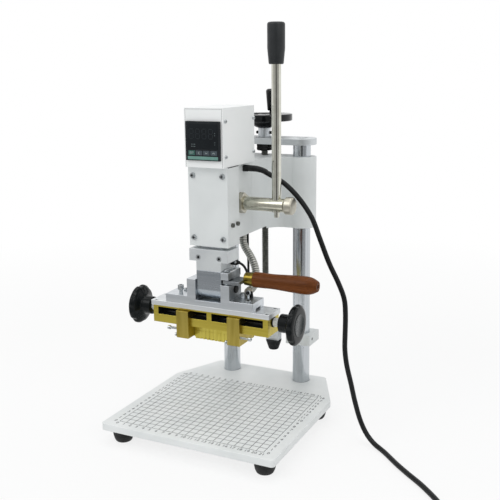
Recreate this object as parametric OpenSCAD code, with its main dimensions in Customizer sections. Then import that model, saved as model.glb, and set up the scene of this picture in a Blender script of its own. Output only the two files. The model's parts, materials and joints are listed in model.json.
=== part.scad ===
// Bench hot foil stamping press: a base plate, two columns, a screw-fed carriage with a lever-driven
// ram, and a heated type holder that tips forward on a hinge. Sizes are in millimetres.
// The floor is z = 0 and the origin lies under the middle of the base plate; the front faces -Y.

/* [Base] */
// Width of the base plate
base_w = 250; // [235:1:320]
// Depth of the base plate
base_d = 270; // [255:1:340]
// Thickness of the base plate
base_t = 10; // [8:1:16]
// Radius of the plate's corners
base_corner_r = 5; // [2:0.5:8]
// How far each rear corner is drawn in
taper_in = 36; // [20:1:40]
// Length of the tapered rear part
taper_len = 77; // [50:1:85]
// Height of the rubber feet
foot_h = 19; // [11:1:24]
// Diameter of a foot at the plate
foot_top_d = 27; // [22:1:30]
// Diameter of a foot at the floor
foot_low_d = 19; // [15:1:21]
// Diameter of the hollow under a foot
foot_hollow_d = 10; // [6:1:12]
// Foot centre from the side edge
foot_side = 21; // [18:1:30]
// Front foot centre from the front edge
foot_front = 21; // [18:1:40]
// Front foot to rear foot
foot_gap = 172; // [130:1:176]

/* [Columns] */
// Diameter of the columns
column_d = 25; // [20:0.5:27]
// Distance between the column axes
column_gap = 115; // [108:1:125]
// Column axis from the rear edge
column_back = 22; // [20:1:30]
// Height of the crossbar's top above the floor
crossbar_top = 387.5; // [382:0.5:420]
// Thickness of the crossbar
crossbar_t = 9; // [8:0.5:12]
// Metal left round a column in the crossbar and the carriage
lobe_wall = 8; // [7.5:0.5:9]
// Head diameter of the column screws
column_screw_head_d = 16; // [13:0.5:18]
// Shank diameter of the column screws
column_screw_d = 8; // [6:0.5:10]
// Width of the clamp collars
collar_w = 38; // [36:1:42]
// Depth of the clamp collars
collar_d = 38; // [36:1:40]
// Height of the clamp collars
collar_h = 15; // [14:0.5:20]
// Collar underside above the plate
collar_rise = 60.5; // [40:0.5:64]
// How far the collars are set outwards
collar_out = 2; // [0:0.5:3]
// Width of the stop arm's hanging block
stop_w = 20; // [18:1:22]
// Height of the hanging block under the arm
stop_drop = 14.5; // [8:0.5:16]
// Height of the rubber stop
bumper_h = 15; // [10:1:18]
// Diameter of the rubber stop at its top
bumper_d = 24; // [20:1:25]
// Diameter of the rubber stop at its foot
bumper_low_d = 14; // [10:1:18]
// Depth of the stop arm
stop_d = 12; // [10:1:16]
// Height of the stop arm
stop_arm_h = 11; // [8:1:14]
// Bare arm between the collar and the hanging block
stop_gap = 12.9; // [8:0.1:14]

/* [Lead screw and handwheel] */
// Diameter of the lead screw
screw_d = 10; // [8:0.5:12]
// Length of the lead screw below the crossbar
screw_len = 214.5; // [200:0.5:240]
// Diameter of the thrust collar
thrust_d = 21; // [16:0.5:24]
// Height of the thrust collar
thrust_h = 6.5; // [4:0.5:7]
// Diameter of the hub sleeve
sleeve_d = 18; // [16:0.5:22]
// Height of the hub sleeve
sleeve_h = 12.5; // [8:0.5:20]
// Diameter of the handwheel
wheel_d = 79; // [76:1:100]
// Width of the handwheel's rim
wheel_rim_w = 16; // [15:0.5:18]
// Height of the handwheel's rim
wheel_rim_h = 13; // [10:0.5:16]
// Height of the cone under the rim
wheel_cone_h = 9; // [6:0.5:12]
// Crank axis from the wheel's axis
crank_r = 29; // [28:0.5:30]
// Diameter of the crank pin
crank_pin_d = 6; // [5:0.5:7]
// Diameter of the crank grip
crank_grip_d = 20; // [16:0.5:22]
// Height of the crank grip
crank_grip_h = 31; // [25:1:45]

/* [Carriage] */
// Carriage top below the crossbar
carriage_drop = 16.5; // [13:0.5:20]
// Height of the carriage
carriage_h = 99.5; // [95:0.5:105]
// Thickness of the web between the columns
web_t = 38; // [30:1:40]
// Width of the arm
arm_w = 40; // [38:1:42]
// Column axis to the arm's front joint
arm_len = 84.2; // [70:0.1:95]
// Radius of the fillets between arm and web
arm_fillet = 20; // [12:1:20]
// Arm underside above the carriage's underside
arm_rise = 3.5; // [2:0.5:6]
// Column axis to the head's hinge axis
reach = 156.5; // [152:0.5:165]

/* [Ram housing] */
// Width of the housing
housing_w = 56; // [54:1:60]
// Depth of the housing's wide front block
housing_d = 29; // [26:1:31]
// Metal in front of the ram
slot_wall = 6.1; // [5:0.1:9]
// How far the housing stands past the carriage above and below
housing_edge = 1; // [0.5:0.5:3]
// Thickness of the front cover
cover_t = 2; // [1.5:0.5:3]
// Head diameter of the cover screws
cover_screw_d = 7.4; // [5:0.2:8]
// Head diameter of the gib screws
gib_screw_d = 5.5; // [5:0.5:6.5]
// Width of the ram
ram_w = 30; // [26:1:32]
// Depth of the ram
ram_d = 29.6; // [27:0.1:31]
// Ram's middle behind the hinge axis
ram_set_back = 10.4; // [9:0.1:12]
// Length of the ram
ram_len = 93; // [85:1:96]

/* [Lever] */
// Diameter of the pinion on the lever shaft
pinion_d = 24; // [22:0.5:26]
// Lever axis above the housing's underside
lever_rise = 50.5; // [45:0.5:55]
// Diameter of the lever shaft
shaft_d = 17.5; // [15:0.5:18]
// Length of the shaft outside the arm
shaft_len = 63.5; // [55:0.5:80]
// Width across the flats of the bush's hexagon
bush_hex = 24; // [22:0.5:28]
// Thickness of the bush's hexagon
bush_t = 7; // [5:0.5:10]
// Diameter of the shaft's end cap
cap_d = 22.5; // [20:0.5:26]
// Length of the shaft's end cap
cap_len = 12; // [8:0.5:16]
// Diameter of the lever rod
rod_d = 12; // [10:0.5:13]
// Lever rod from the shaft's end
rod_inset = 11.5; // [8:0.5:16]
// Grip's lower end above the shaft's axis
grip_rise = 175; // [120:1:220]
// Length of the lever grip
grip_len = 50; // [40:1:100]
// Diameter of the lever grip
grip_d = 22; // [20:0.5:28]
// Diameter of the grip's lower end
grip_low_d = 18.6; // [17:0.2:19.8]

/* [Control box] */
// Width of the control box
box_w = 54; // [53:1:60]
// Depth of the control box
box_d = 87; // [84:1:110]
// Height of the control box
box_h = 73; // [66:1:90]
// Thickness of the box's sheet metal
sheet_t = 1.5; // [1:0.1:1.6]
// How far the box stands out past the housing's front
box_lead = 9.4; // [4:0.1:14]
// Side of the controller's square bezel
bezel = 48; // [46:0.5:50]
// Thickness of the bezel
bezel_t = 3.2; // [3:0.1:4]
// Side of the controller's square body
body_side = 44.5; // [42:0.1:44.8]
// Depth of the controller's body
body_len = 70; // [50:1:75]
// Bezel above the box's underside
bezel_rise = 9; // [5:0.5:12]
// Width of a key
key_w = 9; // [7:0.5:9.5]
// Height of a key
key_h = 5.6; // [4:0.2:6]
// Distance between keys
key_pitch = 10.3; // [10.1:0.1:11]
// Key middle above the bezel's lower edge
key_rise = 9.5; // [6:0.5:14]
// Travel of a key
key_travel = 0.6; // [0.3:0.1:0.8]
// Head diameter of the box screws
box_screw_d = 5; // [4:0.5:6]
// Diameter of the cable gland
gland_d = 12; // [10:0.5:13]
// Length of the cable gland
gland_len = 12; // [10:1:16]

/* [Ram head] */
// Ram block below the housing
block_gap = 3.5; // [2:0.5:8]
// Height of the ram block
block_h = 16; // [14:1:20]
// Width of the block's neck and of the tongue
neck_w = 36; // [32:1:38]
// Height of the block's neck
neck_h = 12; // [12:1:20]
// Hinge axis below the neck
tongue_h = 24; // [22:1:28]
// Diameter of the tongue's barrel
barrel_d = 30; // [28:1:32]
// Diameter of the hinge pin
pin_d = 10; // [8:0.5:12]
// Head diameter of the block screws
block_screw_d = 7; // [5:0.5:8]

/* [Tipping head] */
// Thickness of the hinge ears
ear_t = 12.7; // [11:0.1:14]
// Left ear's top above the hinge axis
left_ear_h = 12; // [9:0.5:14]
// Right ear's top above the hinge axis
right_ear_h = 8; // [7:0.5:8.5]
// Width of the head's base
clevis_w = 127; // [118:1:140]
// Depth of the head's base
clevis_d = 34; // [32:1:36]
// Thickness of the head's base
clevis_base_t = 11.4; // [9:0.1:13]
// Thickness left under the barrel
clevis_floor_t = 7.5; // [5:0.5:8.5]
// Middle of the head's base ahead of the hinge axis
clevis_lead = 1.5; // [0:0.5:2]
// Clamp cap above the right ear
cap_gap = 7; // [5:0.5:9]
// Thickness of the clamp cap
cap_t = 9.4; // [7:0.1:9.6]
// Width of the clamp cap
cap_w = 10.9; // [9:0.1:11]
// Width of the heater plate
heater_w = 173.2; // [172:0.2:190]
// Thickness of the heater plate
heater_t = 6.5; // [5:0.5:10]
// Head diameter of the screws in the head's base
base_screw_d = 8; // [7:0.5:9]
// Head diameter of the screws in the clamp cap
cap_screw_d = 7; // [6:0.5:8]
// Head diameter of the screws in the heater plate
plate_screw_d = 5.5; // [5:0.5:6]
// Height of the heater's terminal block
terminal_h = 12; // [10:0.5:13]

/* [Handle] */
// Handle axis above the hinge axis
handle_rise = 14; // [13:0.5:15]
// Handle axis behind the hinge axis
handle_back = 5.5; // [4:0.5:7]
// Depth of the handle's flat shank
shank_d = 27; // [24:0.5:28]
// Thickness of the handle's flat shank
shank_h = 4.4; // [3:0.2:5]
// Length of the shank
shank_len = 13.5; // [12:0.5:20]
// Diameter of the brass ferrule
ferrule_d = 18.4; // [17:0.2:20]
// Length of the brass ferrule
ferrule_len = 12.5; // [8:0.5:16]
// Length of the wooden handle
handle_len = 86.5; // [75:0.5:110]
// Largest diameter of the wooden handle
handle_d = 22.8; // [21:0.2:28]
// Diameter of the handle's waist
handle_waist_d = 19.2; // [16:0.2:20]
// Diameter of the handle's flat end
handle_end_d = 13; // [11:0.5:16]

/* [Type holder] */
// Width of the type holder
holder_w = 169; // [165:0.5:172]
// Depth of the type holder
holder_d = 32.5; // [30:0.5:34]
// Height of the holder's lower rail
rail_h = 11; // [9:0.5:14]
// Height of the windows over the rail
window_h = 10; // [9.6:0.2:14]
// Metal over the windows
window_roof = 2.5; // [2:0.5:4]
// Width of the post between the windows
centre_post = 7.2; // [6:0.2:10]
// Width of the posts at the ends
end_post = 7.5; // [7:0.5:9]
// Width of a jaw
jaw_w = 18; // [14:1:20]
// Thickness of a jaw's front and rear legs
jaw_wall = 5.2; // [4:0.2:6.4]
// Thickness of a jaw under the rail
jaw_sole = 16; // [10:0.5:17]
// Number of letters in the row
type_n = 10; // [4:1:10]
// Width of a letter
type_w = 5.66; // [4:0.02:5.8]
// Depth of a letter
type_d = 12; // [9:0.5:14]
// Height of a letter
type_h = 21; // [18:0.5:24]
// Diameter of the jaw spindles' thread
thread_d = 8; // [6:0.5:8.5]
// Diameter of the spindles' outer shafts
spindle_d = 10; // [9:0.5:12]
// Diameter of the spindles' flanges
flange_d = 14.5; // [12:0.5:14.5]
// Thickness of the spindles' flanges
flange_t = 1.6; // [1.2:0.1:3]
// Bare spindle between flange and knob
knob_gap = 8; // [3:0.5:10]
// Diameter of a knob's hub
knob_hub_d = 24; // [20:0.5:26]
// Length of a knob's hub
knob_hub_len = 13.5; // [10:0.5:18]
// Diameter of a knob over its lobes
knob_d = 52.5; // [46:0.5:54]
// Thickness of a knob's head
knob_t = 12; // [9:0.5:16]
// Number of lobes on a knob
knob_lobes = 8; // [5:1:9]

/* [Leads] */
// Diameter of the mains lead
cord_d = 6.6; // [6:0.1:6.8]
// Radius of the coil's outer turn
coil_r = 43; // [40:0.5:46]
// Turns of the coil in each of its two layers
coil_turns = 2; // [1:1:2]
// Distance between turns and between layers of the coil
coil_pitch = 7.3; // [7.2:0.1:8]
// Length of the lead between coil and plug
tail_len = 46; // [40:1:80]
// Outer diameter of the ribbed conduit
conduit_d = 10.4; // [9:0.1:11]
// Bore of the ribbed conduit
conduit_bore = 6.8; // [5:0.1:7]
// Ribs on the conduit
conduit_ribs = 42; // [20:1:60]
// Diameter of the sensor lead
sensor_d = 3.2; // [2.5:0.1:3.6]

/* [Hidden] */
$fn = 48;

// Clearances: a fixed fit, a running fit, and the air between faces that pass each other
fit = 0.02;
run = 0.05;
air = 0.3;
// A cut runs this far past the face that it opens
over = 1;

// Heights and places of the base and columns
col_x = column_gap / 2;
col_y = base_d / 2 - column_back;
lobe_r = column_d / 2 + lobe_wall;
crossbar_low = crossbar_top - crossbar_t;
screw_depth = 16;
washer_t = 2;
collar_low = foot_h + base_t + collar_rise;
collar_hole = [2.2, 5];
collar_hole_at = [10.6, 8.3];
collar_in = col_x + collar_out - collar_w / 2;
collar_front = col_y - collar_d / 2;
stop_arm_low = collar_low + collar_h;
stop_room = 0.5;
stop_low = stop_arm_low - stop_drop;
stop_x = collar_in - stop_gap - stop_w / 2;
stop_y = collar_front + 3 + stop_d / 2;

// The handwheel, from the crossbar up
sleeve_low = crossbar_top + air;
wheel_low = sleeve_low + sleeve_h;
rim_low = wheel_low + wheel_cone_h;
rim_top = rim_low + wheel_rim_h;
wheel_r = wheel_d / 2;
wheel_web = 5;
rim_round = 2;
hub_top = rim_top - 3;
hub_r = sleeve_d / 2 + 2;
screw_top = hub_top - 3;
crank_grip_low = rim_top + 0.5;
crank_round = 4;
pin_foot = rim_low + 2;
pin_top = crank_grip_low + crank_grip_h - 3;

// The carriage and the housing on its arm
carriage_top = crossbar_low - carriage_drop;
carriage_low = carriage_top - carriage_h;
arm_low = carriage_low + arm_rise;
arm_y = col_y - arm_len;
head_y = col_y - reach;
housing_top = carriage_top + housing_edge;
housing_low = carriage_low - housing_edge;
ram_front = head_y + ram_set_back - ram_d / 2;
ram_back = ram_front + ram_d;
housing_front = ram_front - slot_wall;
housing_back = housing_front + housing_d;
cover_front = housing_front - cover_t;
cover_screw_x = housing_w / 2 - 7;
cover_screw_edge = 11;
gib_rise = 28;
gib_z = housing_low + gib_rise;
gib_y = [ram_front + 2.5, housing_back - 6.5];
gib_head = 3;
pilot_d = 3;
pilot_depth = 10;
slot_spare = 5;

// The lever's shaft
pinion_r = pinion_d / 2;
chamber_r = pinion_r + 1;
lever_y = ram_back + air + pinion_r;
lever_z = housing_low + lever_rise;
arm_x = arm_w / 2;
shaft_end = arm_x + shaft_len;
bush_neck = arm_x - ram_w / 2 - 0.4;
journal_d = 12;
journal_len = 4.5;
rod_x = shaft_end - rod_inset;
journal_out = -pinion_r - 0.6;
rod_stud_d = 6.7;
rod_stud = 7;
grip_low = lever_z + grip_rise;
grip_round = 3;

// The control box and the keys
box_front = housing_front - box_lead;
box_back = box_front + box_d;
box_low = housing_top;
box_top = box_low + box_h;
bezel_low = box_low + bezel_rise;
bezel_front = box_front - bezel_t;
body_low = bezel_low + (bezel - body_side) / 2;
chassis_w = box_w - 2 * sheet_t - 2 * fit;
flange_w = 9;
box_screw_inset = [5.9, 3.2];
box_screw_rise = [13.5, 16.2];
box_screw_y = [box_front + box_screw_inset[0], box_back - box_screw_inset[1]];
box_screw_z = [box_low + box_screw_rise[0], box_top - box_screw_rise[1]];
key_z = bezel_low + key_rise;
key_proud = 0.5;
key_depth = 2;
key_play = 0.4;
gland_back = 23.8;
gland_y = arm_y - gland_back;
gland_z = housing_top - gland_d / 2 - 1;

// The ram's head, from the housing down to the hinge
block_w = housing_w;
block_top = housing_low - block_gap;
block_low = block_top - block_h;
neck_low = block_low - neck_h;
pin_z = neck_low - tongue_h;
barrel_r = barrel_d / 2;
block_screw_edge = 13;
block_screw_x = block_w / 2 - block_screw_edge;
block_screw_z = block_low + 5;
block_screw_sink = 4;

// The tipping head, from the hinge down to the letters
ear_in = neck_w / 2 + air;
ear_out = ear_in + ear_t;
floor_z = pin_z - barrel_r - 0.5;
pin_out = ear_out + 1.5;
clevis_low = floor_z - clevis_floor_t;
clevis_top = clevis_low + clevis_base_t;
clevis_front = head_y - clevis_lead - clevis_d / 2;
clevis_back = clevis_front + clevis_d;
right_ear_top = pin_z + right_ear_h;
cap_low = right_ear_top + cap_gap;
cap_in = ear_in + air;
cap_out = cap_in + cap_w;
cap_mid = (cap_in + cap_out) / 2;
cap_screw_y = [clevis_front + 7, clevis_back - 6];
land_front = head_y - 1.5;
shank_hole = 2.5 + fit;
base_slot = [8, 10, 24, 3];
cap_sink = 3;
cap_screw_len = 27;
heater_low = clevis_low - heater_t;
plate_screw_x = holder_w / 2 - 3.5;
plate_screw_y = [clevis_front + 4, clevis_back - 4];
window_top = heater_low - window_roof;
rail_top = window_top - window_h;
holder_low = rail_top - rail_h;
holder_back = clevis_back;
holder_front = holder_back - holder_d;
spindle_y = (holder_front + holder_back) / 2;
spindle_z = rail_top + window_h / 2;
type_gap = 0.26;
type_face = [1, 2, 2.4];
type_half = type_n * type_w / 2;
jaw_in = type_half + 0.2;
jaw_play = 0.1;
journal_in = 1.2;
spindle_journal_d = 6;
spindle_out = holder_w / 2 + air;
knob_in = spindle_out + flange_t + knob_gap;
knob_r = knob_d / 2;
knob_face = knob_hub_len + knob_t;
flute_r = 8;
flute_depth = 1.8;
knob_bore_end = knob_in + knob_hub_len - 2;

// The handle on the right ear
handle_y = head_y + handle_back;
handle_z = pin_z + handle_rise;
ferrule_x = cap_out + shank_len;
wood_x = ferrule_x + ferrule_len;
ferrule_taper = 1.6;
shank_drop = 0.4;
shank_lead = 4;
shank_inset = 1.4;
hang_hole = [2.5, 8];

// The heater's terminals and the screws on the head's base
terminal_x = [36, 51];
terminal_y = [head_y - 0.5, clevis_back - 2];
base_screw_at = [[-46, 10, 5], [-46, 25, 0.4], [54, 7, 0.4]];
base_screw_depth = 6;

// Routes of the leads: the mains lead's hang and its run on the floor, the conduit and the sensor lead
cord_z = cord_d / 2 + 0.1;
coil_dir = [0.6, -0.8, 0];
coil_start = [362.5, -166.6, cord_z];
conduit_edge = [6, 16.8];
conduit_rise = 7.6;
sensor_edge = [2.5, 8.8];
sensor_back = 12.5;
sensor_rise = 8;
mains_ends = [[arm_x + gland_len, gland_y, gland_z], coil_start];
mains_points = [
  [32, 5, 356], [42, 5, 356], [60, 5, 348], [76, 5, 340], [90, 5, 329], [104, 5, 314], [117, 5, 295],
  [127, 5, 271], [140, 5, 240], [153, 5, 215], [161, 5, 195], [163, 5, 174], [163, 5, 150], [163, 5, 128],
  [165.9, 5.4, 105.9], [170.9, 8.2, 81.6], [175.7, 11, 56.8], [182.7, 12.3, 32], [192.4, 9.5, 15.2],
  [205.5, 2.6, 6], [223.8, -10.7, cord_z], [247.1, -35, cord_z], [265.3, -52.2, cord_z],
  [287.6, -72.4, cord_z], [310.9, -97.7, cord_z], [332.1, -126.1, cord_z],
  coil_start - 8 * coil_dir, coil_start
];
conduit_ends = [
  [arm_x - conduit_edge[0], arm_y - conduit_edge[1], arm_low],
  [(terminal_x[0] + terminal_x[1]) / 2, terminal_y[1], clevis_top + conduit_rise]
];
conduit_points = [
  [14, 12, 266], [14, 12, 261], [14.5, 12, 255.5], [19, 10, 248], [26, 7, 241], [33, 3, 233.5],
  [38.5, -1, 225], [42, -6, 216], [43.5, -12, 208], [43.5, -19, 203], [43.5, -25, 202], [43.5, -30, 202]
];
sensor_ends = [
  [arm_x - sensor_edge[0], arm_y - sensor_edge[1], arm_low],
  [neck_w / 2, head_y + sensor_back, neck_low + sensor_rise]
];
sensor_points = [
  [17.5, 20, 266], [17.5, 20, 261], [17.5, 20, 246], [18, 20, 231], [19, 18, 216], [22, 13, 207],
  [27, 4, 203], [32, -6, 205], [35, -15, 213], [36, -21, 224], [34, -26, 233], [29, -29.5, 237.5],
  [23, -31, 238], [18, -31, 238]
];

// A hand-drawn route, moved so that its two ends meet what holds them
function carried(points, ends) =
  let (last = len(points) - 1, near = ends[0] - points[0], far = ends[1] - points[last])
  [for (i = [0:last]) points[i] + near * (1 - i / last) + far * i / last];
mains_route = carried(mains_points, mains_ends);
conduit_route = carried(conduit_points, conduit_ends);
sensor_route = carried(sensor_points, sensor_ends);

// Directions and smooth paths
function unit(v) = v / norm(v);
function along(p, i) = p[max(0, min(i, len(p) - 1))];
function blend(a, b, c, d, u) =
  b + u * (c - a) / 2 + u * u * (a - 2.5 * b + 2 * c - d / 2) + u * u * u * (1.5 * (b - c) + (d - a) / 2);
function path_at(p, s) = let (i = min(floor(s), len(p) - 2))
  blend(along(p, i - 1), p[i], p[i + 1], along(p, i + 2), s - i);
function path(p, steps) = [for (k = [0:steps]) path_at(p, k * (len(p) - 1) / steps)];
function end_slope(a, b, c, d) = unit(18 * b - 11 * a - 9 * c + 2 * d);
function heading(p, i) = let (n = len(p) - 1)
  i == 0 ? end_slope(p[0], p[1], p[2], p[3])
  : i == n ? -end_slope(p[n], p[n - 1], p[n - 2], p[n - 3])
  : unit(p[i + 1] - p[i - 1]);
function path_len(p, i = 0) = i < len(p) - 1 ? norm(p[i + 1] - p[i]) + path_len(p, i + 1) : 0;

// Rings of points round a path, and the triangles between them
function ring(p, i, r, sides, side_way) =
  let (t = heading(p, i), n = unit(cross(t, side_way)), b = cross(t, n))
  [for (k = [0:sides - 1]) p[i] + r * (cos(360 * k / sides) * n + sin(360 * k / sides) * b)];
function skin(rings, sides, from, turned) = [
  for (i = [0:rings - 2]) for (k = [0:sides - 1])
    let (a = from + i * sides + k, b = from + i * sides + (k + 1) % sides, c = a + sides, d = b + sides)
    each turned ? [[a, d, c], [a, b, d]] : [[a, c, d], [a, d, b]]
];
function near_cap(sides) = [for (k = [1:sides - 2]) [0, k, k + 1]];
function far_cap(first, sides) = [for (k = [1:sides - 2]) [first, first + k + 1, first + k]];
function end_ring(outer, inner, sides, turned) = [
  for (k = [0:sides - 1])
    let (a = outer + k, b = outer + (k + 1) % sides, c = inner + k, d = inner + (k + 1) % sides)
    each turned ? [[a, c, d], [a, d, b]] : [[a, d, c], [a, b, d]]
];

// The coil: two flat layers of turns, spiralling in, climbing, and out again
coil_rings = 24;
coil_mid = coil_start + coil_r * [coil_dir[1], -coil_dir[0], 0];
coil_from = atan2(coil_start[1] - coil_mid[1], coil_start[0] - coil_mid[0]);
function coil_point(t) = let (
    a = coil_from - 360 * t,
    r = coil_r - coil_pitch * (coil_turns - abs(coil_turns - t)),
    climb = max(0, min(1, 2 * (t - coil_turns) + 0.5))
  )
  coil_mid + [r * cos(a), r * sin(a), climb * coil_pitch];
coil_end = coil_point(2 * coil_turns);
coil_body = [for (k = [0:2 * coil_turns * coil_rings]) coil_point(k / coil_rings)];
coil_path = concat(coil_body, [coil_end + cord_d * coil_dir, coil_end + tail_len * coil_dir]);
function coil_gap(step) = min([
  for (i = [0:len(coil_body) - 1]) for (j = [i + step:1:len(coil_body) - 1]) norm(coil_body[i] - coil_body[j])
]) - cord_d;
echo(least_gap_in_coil = coil_gap(coil_rings / 2));
echo(mains_lead_length = path_len(path(mains_route, 100)) + path_len(coil_path));

// Shared shapes
module span(a, b) {
  translate(a) cube(b - a);
}

module rod_on_x(from, to, r, y, z) {
  translate([from, y, z]) rotate([0, 90, 0]) cylinder(h = to - from, r = r);
}

module rod_on_y(from, to, r, x, z) {
  translate([x, from, z]) rotate([-90, 0, 0]) cylinder(h = to - from, r = r);
}

module pair() {
  children();
  mirror([1, 0, 0]) children();
}

module rounded_square(w, d, r) {
  square([w - 2 * r, d], center = true);
  square([w, d - 2 * r], center = true);
  for (x = [-1, 1], y = [-1, 1]) translate([x * (w / 2 - r), y * (d / 2 - r)]) circle(r);
}

module rounded_outline(p, r) {
  n = len(p);
  back = [for (i = [0:n - 1]) unit(p[(i + n - 1) % n] - p[i])];
  ahead = [for (i = [0:n - 1]) unit(p[(i + 1) % n] - p[i])];
  half = [for (i = [0:n - 1]) acos(back[i] * ahead[i]) / 2];
  polygon([for (i = [0:n - 1]) each [p[i] + back[i] * r / tan(half[i]), p[i] + ahead[i] * r / tan(half[i])]]);
  for (i = [0:n - 1]) translate(p[i] + unit(back[i] + ahead[i]) * r / sin(half[i])) circle(r);
}

// A pan-head screw with a cross recess: the head stands up from z = 0
module pan_screw(head_d, len) {
  head_h = head_d * 0.36;
  arm = [head_d * 0.6, head_d * 0.14, head_h];
  difference() {
    cylinder(h = head_h, d1 = head_d, d2 = head_d * 0.8);
    for (a = [0, 90]) rotate(a) translate([0, 0, head_h]) cube(arm, center = true);
  }
  translate([0, 0, -len]) cylinder(h = len, d = pilot_d);
}

// A hole for a screw's thread, down from z = 0 and open above
module pilot_hole(depth) {
  translate([0, 0, -depth]) cylinder(h = 2 * depth, r = pilot_d / 2 + fit);
}

// A round sink for a screw's head, down from z = 0 and open above
module head_sink(d, depth) {
  translate([0, 0, -depth]) cylinder(h = 2 * depth, r = d / 2 + fit);
}

// A cap screw with a hexagon socket: the head stands up from z = 0
module cap_screw(head_d, head_h, d, len) {
  difference() {
    cylinder(h = head_h, d = head_d);
    translate([0, 0, head_h / 2]) cylinder(h = head_h, d = head_d * 0.55, $fn = 6);
  }
  translate([0, 0, -len]) cylinder(h = len, d = d);
}

module at_columns() {
  for (s = [-1, 1]) translate([s * col_x, col_y, 0]) children();
}

module at_feet() {
  for (s = [-1, 1], y = [0, foot_gap])
    translate([s * (base_w / 2 - foot_side), y + foot_front - base_d / 2, 0]) children();
}

module sweep(p, r, sides, side_way) {
  points = [for (i = [0:len(p) - 1]) each ring(p, i, r, sides, side_way)];
  faces = concat(
    skin(len(p), sides, 0, false), near_cap(sides), far_cap((len(p) - 1) * sides, sides)
  );
  polyhedron(points, faces);
}

// The base and what stands on it
module base_plate() {
  half_w = base_w / 2;
  half_d = base_d / 2;
  rear_w = half_w - taper_in;
  outline = [
    [-half_w, -half_d], [half_w, -half_d], [half_w, half_d - taper_len], [rear_w, half_d],
    [-rear_w, half_d], [-half_w, half_d - taper_len]
  ];
  color("gainsboro") difference() {
    translate([0, 0, foot_h]) linear_extrude(base_t) rounded_outline(outline, base_corner_r);
    at_columns() translate([0, 0, foot_h - over]) cylinder(h = base_t + 2 * over, r = column_d / 2 + fit);
  }
}

module feet() {
  color("black") at_feet() difference() {
    cylinder(h = foot_h, d1 = foot_low_d, d2 = foot_top_d);
    translate([0, 0, -over]) cylinder(h = foot_h / 2 + over, d = foot_hollow_d);
  }
}

module columns() {
  color("silver") at_columns() difference() {
    translate([0, 0, foot_h]) cylinder(h = crossbar_low - foot_h, d = column_d);
    for (z = [foot_h - over, crossbar_low - screw_depth])
      translate([0, 0, z]) cylinder(h = screw_depth + over, r = column_screw_d / 2 + fit);
  }
}

module column_screws() {
  color("dimgray") at_columns() {
    translate([0, 0, crossbar_top - column_screw_d / 2])
      cap_screw(column_screw_head_d, column_screw_d / 2 - 0.5, column_screw_d, crossbar_t);
    translate([0, 0, foot_h - washer_t]) cylinder(h = washer_t, d = column_d + 6);
    translate([0, 0, foot_h - washer_t]) mirror([0, 0, 1])
      cap_screw(column_screw_head_d, column_screw_d - washer_t, column_screw_d, screw_depth);
  }
}

module crossbar() {
  color("whitesmoke") difference() {
    translate([0, col_y, crossbar_low]) linear_extrude(crossbar_t) {
      square([column_gap, 2 * lobe_r], center = true);
      for (s = [-1, 1]) translate([s * col_x, 0]) circle(lobe_r);
    }
    at_columns() {
      translate([0, 0, crossbar_low - over]) cylinder(h = crossbar_t, r = column_screw_d / 2 + fit);
      translate([0, 0, crossbar_top - column_screw_d / 2])
        cylinder(h = column_screw_d, r = column_screw_head_d / 2 + fit);
    }
    translate([0, col_y, crossbar_low - over]) cylinder(h = crossbar_t + 2 * over, r = screw_d / 2 + run);
  }
}

module column_collars() {
  outer = collar_in + collar_w;
  color("lightgray") pair() difference() {
    translate([col_x + collar_out, col_y, collar_low])
      linear_extrude(collar_h) rounded_square(collar_w, collar_d, 2);
    translate([col_x, col_y, collar_low - over]) cylinder(h = collar_h + 2 * over, r = column_d / 2 + fit);
    rod_on_x(
      outer - collar_hole[1], outer + over, collar_hole[0],
      collar_front + collar_hole_at[0], collar_low + collar_hole_at[1]
    );
  }
}

module stop_arm() {
  top = stop_arm_low + stop_arm_h;
  corner = [stop_x - stop_w / 2, stop_y - stop_d / 2];
  back = stop_y + stop_d / 2;
  column_side = [col_x - column_d / 2 - stop_room, col_y - column_d / 2 - stop_room];
  color("lightgray") {
    span([corner[0], corner[1], stop_arm_low], [column_side[0], back, top]);
    span([corner[0], corner[1], stop_low], [stop_x + stop_w / 2, back, stop_arm_low]);
    span([column_side[0], corner[1], stop_arm_low], [col_x, column_side[1], top]);
  }
}

module stop_bumper() {
  color("black") translate([stop_x, stop_y, stop_low - bumper_h])
    cylinder(h = bumper_h, d1 = bumper_low_d, d2 = bumper_d);
}

// The lead screw and the handwheel on it
module lead_screw() {
  low = crossbar_low - screw_len;
  color("dimgray") translate([0, col_y, low]) cylinder(h = screw_top - low, d = screw_d);
}

module screw_ring(low, h, d) {
  translate([0, col_y, low]) difference() {
    cylinder(h = h, d = d);
    translate([0, 0, -over]) cylinder(h = h + 2 * over, r = screw_d / 2 + fit);
  }
}

module thrust_collar() {
  color("black") screw_ring(crossbar_low - air - thrust_h, thrust_h, thrust_d);
}

module hub_sleeve() {
  color("silver") screw_ring(sleeve_low, sleeve_h, sleeve_d);
}

module handwheel() {
  rim_in = wheel_r - wheel_rim_w;
  bore = screw_d / 2 + fit;
  profile = [
    [bore, wheel_low], [sleeve_d / 2, wheel_low], [rim_in, rim_low], [wheel_r - rim_round, rim_low],
    [wheel_r, rim_low + rim_round], [wheel_r, rim_top - rim_round], [wheel_r - rim_round, rim_top],
    [rim_in + rim_round, rim_top], [rim_in, rim_top - rim_round], [rim_in, rim_low + wheel_web],
    [hub_r, rim_low + wheel_web], [hub_r, hub_top], [bore, hub_top]
  ];
  color("black") difference() {
    translate([0, col_y, 0]) rotate_extrude() polygon(profile);
    translate([0, col_y + crank_r, pin_foot]) cylinder(h = wheel_rim_h, r = crank_pin_d / 2 + fit);
  }
}

module crank_pin() {
  color("silver") translate([0, col_y + crank_r, pin_foot]) cylinder(h = pin_top - pin_foot, d = crank_pin_d);
}

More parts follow.
